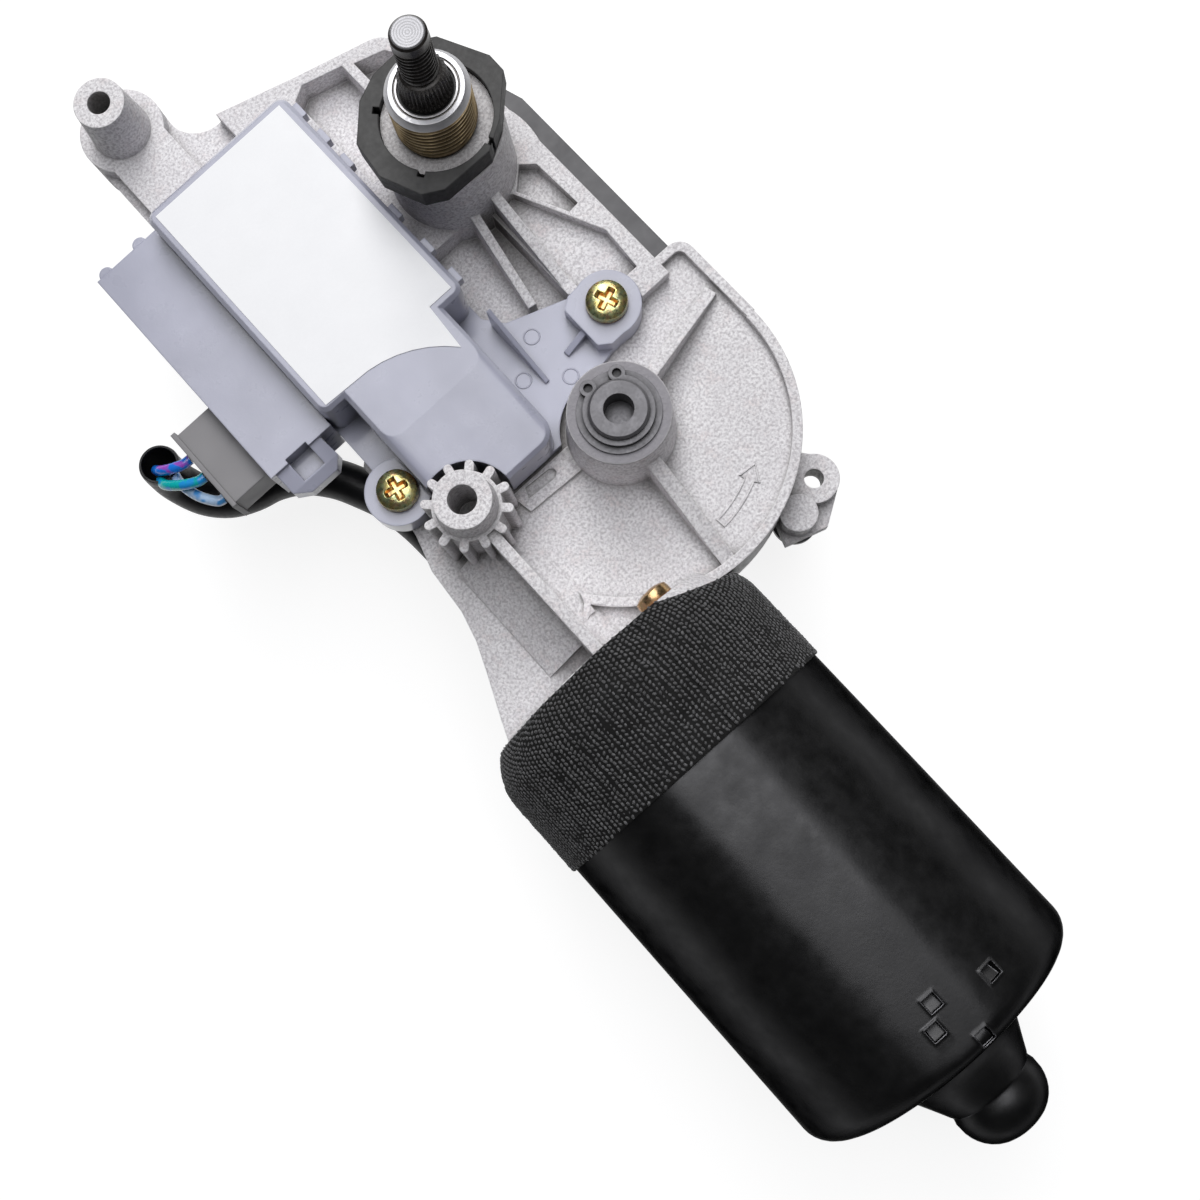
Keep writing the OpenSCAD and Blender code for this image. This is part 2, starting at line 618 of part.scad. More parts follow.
// Sleeve: a shank pressed into the tower and a wider threaded length above its face
module threaded_sleeve() color([0.62, 0.52, 0.36]) rotate_extrude($fn = 96)
  polygon([[spindle_r + bush_wall + seat, -sleeve_seat], [shank_r, -sleeve_seat], [shank_r, 0], [sleeve_r, 0],
    [sleeve_r, sleeve_h - sleeve_lip], [sleeve_r - 0.7, sleeve_h], [spindle_r + bush_wall + seat, sleeve_h]]);

module tower_seal() color([0.2, 0.2, 0.21]) translate([0, 0, -spigot_h + seat]) difference() {
  linear_extrude(spigot_h + 1.5) polygon([[9.1, 10.1], [13.1, 1.5], [13, -2], [7, -7.8], [2.3, -10.6], [-7.1, -10.4],
    [-10.4, -8.4], [-13.3, -1.3], [-12.4, 5.5], [-7.3, 10.7], [-2.6, 12.6], [5, 12.8]]);
  translate([0, 0, -1]) cylinder(r = spigot_r + seat, h = spigot_h + 5);
  for (a = [40, 130, 215, 290]) rotate(a) translate([spigot_r - 0.5, -0.6, 0.6]) cube([1.6, 1.2, spigot_h + 2]);
}

module spindle_seal() color([0.1, 0.1, 0.1])
  sleeve_ring(spindle_r + run, spindle_r + bush_wall, sleeve_h - 2, sleeve_h - 0.5);

module spindle() color([0.13, 0.13, 0.14]) {
  base = sleeve_h + 0.4;
  rotate_extrude($fn = 64) polygon([[0, lever_bottom], [3.2, lever_bottom], [3.2, lever_top], [spindle_r, lever_top],
    [spindle_r, base], [cone_top_r, base + cone_h], [arm_thread_r, base + cone_h],
    [arm_thread_r, base + cone_h + arm_thread_l - 0.6], [arm_thread_r - 0.6, base + cone_h + arm_thread_l],
    [0, base + cone_h + arm_thread_l]]);
}

module spindle_washer() color([0.75, 0.75, 0.77])
  sleeve_ring(spindle_r + seat, spindle_r + 2.2, lever_top + seat, lever_chamber_top - seat);

module spindle_lever() color([0.45, 0.46, 0.48]) translate([0, 0, lever_bottom]) difference() {
  linear_extrude(lever_t) {
    circle(6.4);
    translate(lever_p) circle(rod_eye_r);
    rotate(lever_a) polygon([[0, -6.2], [lever_r, -rod_eye_r + 0.1], [lever_r, rod_eye_r - 0.1], [0, 6.2]]);
  }
  translate([0, 0, -1]) cylinder(r = 3.2 + seat, h = lever_t + 2);
  translate([lever_p[0], lever_p[1], -1]) cylinder(r = lever_pin_r + seat, h = lever_t + 2);
}

module lever_pin() color([0.7, 0.7, 0.72]) translate([lever_p[0], lever_p[1], 0]) {
  translate([0, 0, rod_bottom - gap]) cylinder(r = lever_pin_r, h = lever_top - rod_bottom + gap);
  translate([0, 0, rod_bottom - gap - 0.9]) cylinder(r = lever_pin_r + 1.2, h = 0.9);
}

module drive_rod() color([0.5, 0.51, 0.53]) translate([0, 0, rod_bottom]) difference() {
  linear_extrude(rod_t) {
    translate(lever_p) circle(rod_eye_r);
    translate(crank_p) circle(crank_pin_r + 1.8);
    translate(lever_p) rotate(rod_a) translate([0, -rod_w / 2]) square([rod_l, rod_w]);
  }
  translate([lever_p[0], lever_p[1], -1]) cylinder(r = lever_pin_r + run, h = rod_t + 2);
  translate([crank_p[0], crank_p[1], -1]) cylinder(r = crank_pin_r + run, h = rod_t + 2);
}

module wheel_bush() color([0.7, 0.55, 0.35]) translate([wheel_x, wheel_y, 0])
  sleeve_ring(wheel_shaft_r + run, wheel_shaft_r + bush_wall, -flange_z - roof_t, -boss_z - seat);

// Half of a tooth's thickness at a height above the pitch line
function tooth_half(h) = (worm_pitch - backlash) / 4 - h * tan(20);

module worm_wheel() color([0.88, 0.86, 0.78]) translate([wheel_x, wheel_y, wheel_bottom]) difference() {
  lean = wheel_w * tan(worm_lead_angle) / wheel_pitch_r * 180 / PI;
  rotate(-lean / 2) linear_extrude(wheel_w, twist = -lean, slices = 1)
    polygon([for (i = [0:wheel_teeth - 1]) let (a = 180 + 360 / wheel_teeth * (i + 0.5)) each
      [for (q = [[-1, -dedendum], [-1, addendum], [1, addendum], [1, -dedendum]])
        let (r = wheel_pitch_r + q[1], t = a + q[0] * tooth_half(q[1]) / r * 180 / PI) r * [cos(t), sin(t)]]]);
  translate([0, 0, -1]) cylinder(r = wheel_shaft_r + seat, h = wheel_w + 2);
  translate([crank_p[0] - wheel_x, crank_p[1] - wheel_y, -1]) cylinder(r = crank_pin_r + seat, h = wheel_w - 1);
}

module wheel_shaft() color([0.42, 0.42, 0.45]) translate([wheel_x, wheel_y, 0]) difference() {
  top = -boss_z + 2.4;
  rotate_extrude($fn = 64) polygon([[0, wheel_bottom], [wheel_shaft_r, wheel_bottom],
    [wheel_shaft_r, -boss_z + 0.5], [wheel_shaft_r - 0.4, -boss_z + 0.5], [wheel_shaft_r - 0.4, -boss_z + 1.5],
    [wheel_shaft_r, -boss_z + 1.5], [wheel_shaft_r, top - 0.4], [wheel_shaft_r - 0.4, top], [0, top]]);
  translate([0, 0, top - 5]) cylinder(r = 2.5, h = 6);
}

module crank_pin() color([0.7, 0.7, 0.72])
  translate([crank_p[0], crank_p[1], rod_top + gap]) cylinder(r = crank_pin_r, h = wheel_w - 2);

module thrust_washer() color([0.5, 0.5, 0.52]) translate([wheel_x, wheel_y, 0])
  sleeve_ring(wheel_shaft_r + seat, wheel_shaft_r + 2, -boss_z + seat, -boss_z + 0.5 - seat);

module wheel_circlip() color([0.4, 0.4, 0.43]) translate([wheel_x, wheel_y, -boss_z + 0.5]) difference() {
  linear_extrude(1 - seat) {
    difference() {
      circle(wheel_shaft_r + 0.9);
      circle(wheel_shaft_r - 0.4 + seat);
      polygon([[0, 0], 10 * [cos(101), sin(101)], 12 * [cos(76), sin(76)], 10 * [cos(51), sin(51)]]);
    }
    for (a = [101, 51]) rotate(a) translate([wheel_shaft_r + 1.2, 0]) circle(1.4, $fn = 32);
  }
  translate([0, 0, -1]) cylinder(r = wheel_shaft_r - 0.4 + seat, h = 3);
  for (a = [101, 51]) rotate(a) translate([wheel_shaft_r + 1.2, 0, -1]) cylinder(r = 0.75, h = 3, $fn = 24);
}

// Thread of the worm: a ridge that winds round the shaft, its section wider at the root
module worm_thread() {
  steps = 24;
  n = floor(worm_l / worm_pitch * steps);
  r0 = worm_pitch_r - dedendum - 0.2;
  r1 = worm_pitch_r + addendum;
  section = [[-tooth_half(-dedendum - 0.2), r0], [-tooth_half(addendum), r1],
    [tooth_half(addendum), r1], [tooth_half(-dedendum - 0.2), r0]];
  points = [for (i = [0:n]) let (a = 360 * (i - n / 2) / steps) each
    [for (q = section) [q[1] * cos(a), q[1] * sin(a), wheel_dy + worm_pitch * a / 360 + q[0]]]];
  sides = [for (i = [0:n - 1], j = [0:3]) [4 * i + j, 4 * i + (j + 1) % 4, 4 * i + 4 + (j + 1) % 4, 4 * i + 4 + j]];
  polyhedron(points, concat([[3, 2, 1, 0]], sides, [[4 * n, 4 * n + 1, 4 * n + 2, 4 * n + 3]]));
}

module armature_shaft() color([0.66, 0.67, 0.7]) {
  translate([worm_x, 0, worm_z]) rotate([90, 0, 0]) worm_thread();
  about_motor([[0, bush_start + seat], [shaft_r, bush_start + seat], [shaft_r, wheel_dy - worm_l / 2],
    [worm_pitch_r - dedendum, wheel_dy - worm_l / 2], [worm_pitch_r - dedendum, wheel_dy + worm_l / 2],
    [shaft_r, wheel_dy + worm_l / 2], [shaft_r, flare_end + 6.6], [0, flare_end + 6.6]], 48);
}

// Along the motor's axis: extrudes a plan drawn about the axis from s0, over a length
module along_motor(s0, l) {
  translate([worm_x, -s0, worm_z]) rotate([90, 0, 0]) linear_extrude(l) children();
}

module armature_core() color([0.5, 0.5, 0.52]) along_motor(core_z, core_l) difference() {
  circle(core_r);
  circle(shaft_r + seat);
  for (i = [0:core_slots - 1]) rotate(360 / core_slots * i) {
    translate([core_r - 8, -2.2]) square([6, 4.4]);
    translate([core_r - 3, -0.7]) square([4, 1.4]);
  }
}

module armature_windings() color([0.72, 0.4, 0.2]) {
  outer = core_r - 2.1;
  inner = core_r - 10.5;
  back = core_z + core_l;
  about_motor([[inner, core_z - 4.5], [outer - 2.4, core_z - 4.5], [outer, core_z - 2.5], [outer, core_z - seat],
    [inner, core_z - seat]], 64);
  about_motor([[inner, back + seat], [outer, back + seat], [outer, back + 3], [outer - 2.4, back + 5],
    [inner, back + 5]], 64);
  along_motor(core_z - 1, core_l + 2) for (i = [0:core_slots - 1]) rotate(360 / core_slots * i)
    translate([core_r - 7.9, -2.1]) square([5.7, 4.2]);
}

module commutator() color([0.75, 0.45, 0.25]) along_motor(commutator_z, 10) difference() {
  circle(commutator_r);
  circle(shaft_r + seat);
  for (i = [0:core_slots - 1]) rotate(360 / core_slots * (i + 0.5)) translate([commutator_r - 1.2, -0.3]) square([3, 0.6]);
}

module worm_bush() color([0.7, 0.55, 0.35]) about_motor([[shaft_r + run, bush_start + seat],
  [shaft_r + worm_bush_wall, bush_start + seat], [shaft_r + worm_bush_wall, bush_start + bush_l],
  [shaft_r + run, bush_start + bush_l]]);

module thrust_ball() color([0.8, 0.8, 0.82])
  translate([worm_x, -bush_start + ball_r, worm_z]) sphere(r = ball_r - seat / 2, $fn = 32);

module front_bearing() color([0.6, 0.61, 0.63]) about_motor([[shaft_r + run, can_front - front_bearing_l + seat],
  [front_bearing_r, can_front - front_bearing_l + seat], [front_bearing_r, can_front], [shaft_r + run, can_front]]);

module rear_bearing() color([0.7, 0.55, 0.35]) about_motor([[shaft_r + run, flare_end + 1.2],
  [can_boss_r - can_t - seat, flare_end + 1.2], [can_boss_r - can_t - seat, flare_end + 6.2],
  [shaft_r + run, flare_end + 6.2]]);

module motor_can() color([0.07, 0.07, 0.075]) difference() {
  tip = can_end + can_boss_l;
  cap_r = can_boss_r - 2.2;
  union() {
    about_motor(concat([[can_r, can_front + seat]], arc([can_r - can_corner, can_end - can_corner], can_corner, 0, 90, 8),
      [[can_boss_r + can_flare_w, can_end], [can_boss_r + 1.4, flare_end], [can_boss_r + 0.2, flare_end + 2.4],
        [can_boss_r - 0.3, flare_end + 3.2], [can_boss_r, flare_end + 4]],
      arc([can_boss_r - cap_r, tip - cap_r], cap_r, 5, 90, 6),
      [[0, tip], [0, tip - can_t], [can_boss_r - can_t - 2, tip - can_t], [can_boss_r - can_t, tip - can_t - 3],
        [can_boss_r - can_t, flare_end + 1], [can_boss_r + can_flare_w - can_t, can_end - can_t]],
      arc([can_in_r - can_corner + can_t, can_end - can_corner], can_corner - can_t, 90, 0, 8),
      [[can_in_r, can_front + seat]]));
    for (p = motor_screw_p) translate([worm_x, -ear_z, worm_z]) rotate([90, -atan2(p[1], p[0]), 0])
      translate([14, -4.5, 0]) cube([can_in_r - 13.6, 9, 2.2]);
  }
  for (e = [1, -1]) translate([worm_x - can_r, -can_end - 1, worm_z + (e > 0 ? can_flat : -can_flat - 5)])
    cube([2 * can_r, can_l + 2, 5]);
  for (p = motor_screw_p) translate([worm_x + p[0], -ear_z + 1, worm_z + p[1]]) rotate([90, 0, 0])
    cylinder(r = screw_r + seat, h = 5);
  for (p = [[1.2, 152], [-1.3, 155.3], [10.7, 154.6]]) translate([worm_x + p[0] - 1.2, -p[1] - 1.2, worm_z + can_r - 3.2])
    cube([2.4, 2.4, 4]);
}

module magnets() color([0.25, 0.25, 0.27]) along_motor(core_z - 3, core_l + 6) for (e = [0, 180]) rotate(e)
  difference() {
    circle(can_in_r - seat);
    circle(can_in_r - magnet_t);
    polygon([[0, 0], 2 * can_r * [cos(62), sin(62)], 2 * can_r * [-1, 1], 2 * can_r * [-1, -1],
      2 * can_r * [cos(62), -sin(62)]]);
  }

module brush_holder() color([0.35, 0.22, 0.14]) {
  along_motor(holder_z, 2) difference() {
    circle(can_in_r - seat);
    circle(commutator_r + 1);
  }
  along_motor(can_front + spigot_l + seat, holder_z - can_front - spigot_l) for (e = [0, 90, 180, 270]) rotate(e)
    translate([can_in_r - 2.8, -3]) square([1.6, 6]);
  for (e = [0, 180]) translate([worm_x, -brush_z, worm_z]) rotate([90, e + 90, 0]) difference() {
    translate([commutator_r + 2, -3.6, -1.3]) cube([guide_end - commutator_r - 2, 7.2, holder_z - brush_z + 1.5]);
    translate([commutator_r, -2.6, -0.1]) cube([guide_end - commutator_r - 0.6, 5.2, 6.2]);
  }
}

module brushes() color([0.2, 0.19, 0.19]) for (e = [0, 180]) translate([worm_x, -brush_z, worm_z]) rotate([90, e + 90, 0])
  translate([commutator_r + run, -2.5, 0]) cube([brush_l, 5, 6]);

module brush_springs() color([0.7, 0.7, 0.7]) for (e = [0, 180]) translate([worm_x, -brush_z - 3, worm_z])
  rotate([0, e, 0]) translate([0, 0, commutator_r + brush_l + 0.1]) difference() {
    for (i = [0:spring_turns - 1]) translate([0, 0, spring_pitch * i]) {
      cylinder(r = 2.2, h = spring_pitch / 2, $fn = 24);
      cylinder(r = 1.9, h = spring_pitch, $fn = 24);
    }
    translate([0, 0, -1]) cylinder(r = 1.4, h = spring_turns * spring_pitch + 2, $fn = 24);
  }

module motor_screws() color([0.72, 0.55, 0.3]) for (p = motor_screw_p)
  translate([worm_x + p[0], -motor_face + 3.6, worm_z + p[1]]) rotate([90, 0, 0]) {
    rotate_extrude($fn = 48) polygon([[0, 0], [2.2, 0], [3, 0.7], [3.1, 1.4], [3.1, 2.55], [0, 2.55]]);
    cylinder(r = screw_r, h = ear_z - motor_face + 5.4);
  }

module insulation_tape() color([0.09, 0.09, 0.09]) difference() {
  about_motor([[bell_front_r + 0.8, motor_face], [bell_r - 1.1, can_front - 4], [can_r + 0.1, can_front - 2],
    [can_r + 0.1, motor_face + tape_w], [can_r + 0.1 + tape_t, motor_face + tape_w],
    [can_r + 0.1 + tape_t, can_front - 2.3], [bell_r - 0.6, can_front - 4.5], [bell_front_r + 0.9, motor_face - 0.4]]);
  translate([wheel_x, wheel_y, -60]) cylinder(r = housing_r + 0.2, h = 80);
}

// Box with rounded corners and softened top edges
module soft_box(x0, x1, y0, y1, z0, z1, r) {
  hull() for (x = [x0 + r, x1 - r], y = [y0 + r, y1 - r]) {
    translate([x, y, z0]) cylinder(r = r, h = z1 - z0 - 0.8, $fn = 32);
    translate([x, y, z0]) cylinder(r = r - 0.7, h = z1 - z0, $fn = 32);
  }
}

// Straight-sided block that joins the right lug, with the gusset at its foot
module lug_block() {
  translate([lug_p[0][0], lug_p[0][1], -flange_z + seat]) linear_extrude(lug_top + flange_z - seat)
    polygon([[0, lug_r - 0.15], [-4, lug_r - 0.4], [-6, lug_r - 1.8], [-6, 1.6 - lug_r], [-4, 0.1 - lug_r], [0, 0.15 - lug_r]]);
  rib(lug_p[0] - [5.5, 0.6], lug_p[0] - [10.4, 1], 1.1, base_top - 0.5, lug_top - 1, base_top + 0.6);
}

// Thin wall beside the wing, that falls to the base
module upright() rib([case_right + 0.8, case_front - 4.2], [case_right + 0.8, case_front - 18.3], 0.8, base_top - 0.5,
  base_top + 8, base_top + 0.5);

// Connector hood with the two stops at its far end and the sloping latch with its window at the near end
module hood() difference() {
  union() {
    translate([hood_left, hood_front, hood_top - hood_h]) cube([hood_w, hood_l, hood_h]);
    for (x = [hood_left + 2.1, hood_right - 3.7]) translate([x, case_back - 0.1, hood_top - 4]) cylinder(r = 1.4, h = 3.8);
    hull() for (q = [[1, 3.8, 0.4, 0.6], [1, 3.4, -3.9, 2.2], [3.6, 5.2, -5.6, 3.2]])
      translate([hood_left + q[0], hood_front + q[2], hood_top - 6]) cube([hood_w - q[0] - q[1] + 1, 0.1, 6 - q[3]]);
  }
  translate([hood_left + 3.9, hood_front - 3.6, hood_top - 3.6]) cube([4.6, 4.4, 6]);
}

module case_base() color([0.72, 0.75, 0.78]) difference() {
  union() {
    translate([0, 0, -flange_z + seat]) linear_extrude(base_t - seat) {
      base_plan(0);
      translate([hood_right - 1, hood_front]) square([4, hood_l]);
    }
    for (p = lug_p) translate([p[0], p[1], -flange_z + seat]) cylinder(r = lug_r, h = lug_top + flange_z - seat);
    lug_block();
    upright();
    hood();
    for (x = [case_left + 9, case_right - 4], y = [case_front + case_t + 2, case_back - 4])
      translate([x, y, base_top - 0.5]) cylinder(r = 1.8, h = board_z - base_top + 0.5, $fn = 24);
  }
  for (p = lug_p) translate([p[0], p[1], -flange_z - 1]) {
    cylinder(r = screw_r + 0.15, h = 8);
    cylinder(r = pillar_r + seat, h = pillar_h + 1 + seat);
  }
  translate([worm_x, post_y, -flange_z - 1]) cylinder(r = fin_tip_r + 0.8, h = 20);
  translate([wing_x[0] - gap, lug_p[1][1] - lug_r - 1, base_top]) cube([lug_r + 3, 2 * lug_r + 2, lug_top - base_top + 1]);
  translate([hood_left - 1, plug_y - plug_w / 2 - gap, plug_z - plug_h / 2 - gap])
    cube([hood_w - 3 + 1, plug_w + 2 * gap, plug_h + 2 * gap]);
  for (i = [-1.5:1:1.5]) translate([hood_right - 5, plug_y + i * pin_pitch - 0.5, plug_z + 0.5]) cube([6, 1, 1]);
}

// Lower wing of the cover: level with the tall part, then falling towards its end
module wing() hull() for (x = [wing_x[0] + wing_r, wing_x[1] - wing_r], q = [[case_front + 5, 0],
  [wing_bend, 0], [wing_y + wing_r, wing_drop]]) {
  translate([x, q[0], base_top]) cylinder(r = wing_r, h = case_z - q[1] - 0.8 - base_top, $fn = 32);
  translate([x, q[0], base_top]) cylinder(r = wing_r - 0.7, h = case_z - q[1] - base_top, $fn = 32);
}

module case_cover() color([0.78, 0.81, 0.84]) difference() {
  union() {
    soft_box(case_left, case_right, case_front, case_back, base_top, case_z, 2);
    difference() {
      wing();
      translate([worm_x, post_y, -40]) cylinder(r = fin_tip_r + 0.6, h = 60);
    }
    for (y = latch_y) translate([case_right - 0.5, y - 1.4, base_top + 8])
      cube([1.6, 2.8, 2.4]);
  }
  translate([case_left + case_t, case_front + case_t, base_top - 1])
    cube([case_w - 2 * case_t, case_l - 2 * case_t, case_z - case_t - base_top + 1]);
  translate([worm_x + fin_tip_r + 2, wing_y + 3, base_top - 1])
    cube([wing_x[1] - worm_x - fin_tip_r - 4, case_front - wing_y, case_z - wing_drop - case_t - base_top + 1]);
  translate([case_left - 1, plug_y - 6, base_top - 1]) cube([case_t + 2, 12, 2.6]);
}

module circuit_board() color([0.1, 0.35, 0.2])
  translate([case_left + case_t + 0.4, case_front + case_t + 0.4, board_z + seat])
    cube([case_w - 2 * case_t - 0.8, case_l - 2 * case_t - 0.8, board_t]);

module relay() color([0.15, 0.15, 0.16])
  translate([case_left + 8, case_front + 8, board_z + board_t + 2 * seat]) cube([14, 16, 5]);

module capacitor() color([0.15, 0.2, 0.4])
  translate([case_left + 14, case_back - 12, board_z + board_t + 2 * seat]) cylinder(r = 4, h = 5, $fn = 48);

module terminal_pins() color([0.8, 0.72, 0.4]) for (i = [-1.5:1:1.5]) translate([0, plug_y + i * pin_pitch - 0.4, 0]) {
  translate([hood_left + 5, 0, plug_z + 0.6]) cube([case_left + 5 - hood_left - 5, 0.8, 0.8]);
  translate([case_left + 4.2, 0, plug_z + 0.6]) cube([0.8, 0.8, board_z - plug_z - 0.6]);
}

module case_screws() color([0.78, 0.68, 0.36]) for (p = lug_p) translate([p[0], p[1], lug_top + seat]) {
  rotate_extrude($fn = 48) polygon([[0, 0], [screw_head_r, 0], [screw_head_r, 1.2], [screw_head_r - 0.9, 2.2], [0, 2.7]]);
  translate([0, 0, -case_screw_l]) cylinder(r = screw_r, h = case_screw_l + 0.5);
}

// Label on the tall part and the near end of the wing, its lower edge a wide arc
module blank_label() color([0.97, 0.97, 0.98]) {
  edge = 1.6;
  arc_c = [worm_x + 0.5, case_front - 20.5];
  translate([0, 0, case_z + 0.02]) linear_extrude(0.12) polygon(concat([[case_left + edge, case_back - edge],
    [case_right - edge, case_back - edge], [case_right - edge, case_front + edge], [wing_x[1] - edge, case_front + edge]],
    arc(arc_c, 21.2, 39, 83, 6), [[case_left + edge, case_front + 1]]));
}

module connector_plug() color([0.55, 0.55, 0.58]) difference() {
  union() {
    translate([hood_left - plug_out, plug_y - plug_w / 2, plug_z - plug_h / 2]) cube([plug_out + 8.6, plug_w, plug_h]);
    translate([hood_left - plug_out - plug_lip, plug_y - plug_w / 2 - 0.6, plug_z - plug_h / 2 - 0.6])
      cube([plug_lip, plug_w + 1.2, plug_h + 1.2]);
  }
  for (i = [-1.5:1:1.5]) translate([hood_left + 4, plug_y + i * pin_pitch - 0.7, plug_z + 0.3]) cube([6, 1.4, 1.4]);
}

// Lead wire k of three, from the plug's face to the sleeve's mouth
module lead_wire(k) {
  from = [hood_left - plug_out - plug_lip - 0.02, plug_y + 4.6 - 4.6 * k, plug_z + wire_up[k]];
  to = wire_mouth[k];
  tube([from, from + [-1.2, 0, 0], from + [-2.8, 0.6 + 1.2 * k, -0.2], to + [0.8 - 0.4 * k, -1.2 - 1.6 * k, 2.4 + 0.8 * wire_up[k]],
    to + [0, -0.2, 1.2], to], wire_r, 8);
}

module lead_wire_upper() color([0.1, 0.4, 0.8]) lead_wire(0);

module lead_wire_middle() color([0.1, 0.6, 0.7]) lead_wire(1);

module lead_wire_lower() color([0.75, 0.8, 0.95]) lead_wire(2);

module harness_sleeve() color([0.08, 0.08, 0.08]) tube(sleeve_route, harness_r, 12);

module harness_grommet() color([0.1, 0.1, 0.1]) let (end = sleeve_route[len(sleeve_route) - 1])
  translate(end - [0, 0.4, 0]) rotate([90, 0, 0])
    cylinder(r1 = harness_r + 0.2, r2 = harness_r + 0.6, h = bell_front + end[1] - 0.4 - seat);

gear_housing();
back_cover();
cover_gasket();
cover_screws();
spindle_bushes();
threaded_sleeve();
tower_seal();
spindle_seal();
spindle();
spindle_washer();
spindle_lever();
lever_pin();
drive_rod();
wheel_bush();
worm_wheel();
wheel_shaft();
crank_pin();
thrust_washer();
wheel_circlip();
armature_shaft();
armature_core();
armature_windings();
commutator();
worm_bush();
thrust_ball();
front_bearing();
rear_bearing();
motor_can();
magnets();
brush_holder();
brushes();
brush_springs();
motor_screws();
insulation_tape();
case_base();
case_cover();
circuit_board();
relay();
capacitor();
terminal_pins();
case_screws();
blank_label();
connector_plug();
lead_wire_upper();
lead_wire_middle();
lead_wire_lower();
harness_sleeve();
harness_grommet();
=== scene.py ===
import json
import math

import bmesh
import bpy
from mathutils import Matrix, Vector, noise


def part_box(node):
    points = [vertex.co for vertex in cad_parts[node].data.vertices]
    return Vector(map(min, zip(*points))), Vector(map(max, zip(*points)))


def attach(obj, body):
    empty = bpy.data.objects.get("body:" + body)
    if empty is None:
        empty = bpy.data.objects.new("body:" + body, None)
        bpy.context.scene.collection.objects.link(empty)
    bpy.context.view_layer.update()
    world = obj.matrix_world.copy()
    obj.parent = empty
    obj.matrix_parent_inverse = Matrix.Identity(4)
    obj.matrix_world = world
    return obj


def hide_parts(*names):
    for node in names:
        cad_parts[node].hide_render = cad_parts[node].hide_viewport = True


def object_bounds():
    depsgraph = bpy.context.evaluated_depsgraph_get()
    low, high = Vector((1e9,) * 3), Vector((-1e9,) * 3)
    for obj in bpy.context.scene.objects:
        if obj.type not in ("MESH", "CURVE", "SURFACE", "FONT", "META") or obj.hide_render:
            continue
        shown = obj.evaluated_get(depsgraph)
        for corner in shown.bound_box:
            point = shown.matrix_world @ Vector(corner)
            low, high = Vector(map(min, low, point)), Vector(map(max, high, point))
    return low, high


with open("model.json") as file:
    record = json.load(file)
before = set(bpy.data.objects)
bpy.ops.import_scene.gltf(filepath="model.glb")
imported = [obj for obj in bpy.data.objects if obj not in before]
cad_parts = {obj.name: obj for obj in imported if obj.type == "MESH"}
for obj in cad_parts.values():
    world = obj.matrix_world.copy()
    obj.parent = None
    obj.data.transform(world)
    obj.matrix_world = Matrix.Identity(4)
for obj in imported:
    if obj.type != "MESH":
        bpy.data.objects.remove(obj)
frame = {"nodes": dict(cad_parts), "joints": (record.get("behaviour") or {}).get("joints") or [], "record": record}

bl_info = {
    "name": "Rear wiper motor",
    "version": (1, 0, 0),
    "blender": (4, 5, 0),
    "location": "View3D > Sidebar > Wiper motor",
    "description": "Finishes and fine pieces of a rear wiper motor",
    "category": "Object",
}

MM = 0.001
TURN = 2 * math.pi

# What several pieces share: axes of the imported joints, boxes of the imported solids, and the can's radius
JOINTS = {joint["name"]: joint for joint in frame["joints"]}
WORM_X, _, WORM_Z = JOINTS["armature_turn"]["pos_m"]
WHEEL_X, WHEEL_Y, _ = JOINTS["wheel_turn"]["pos_m"]
SPINDLE_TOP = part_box("spindle")[1].z
SLEEVE_LOW, SLEEVE_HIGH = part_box("threaded_sleeve")
CAD_LOW, CAD_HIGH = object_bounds()
CAN_RADIUS = 27 * MM


# Finishes

def shade(colour, factor, lift=0.0):
    """A colour made darker or brighter by a factor, then lifted by the same step in each channel."""
    return tuple(min(1.0, channel * factor + lift) for channel in colour)


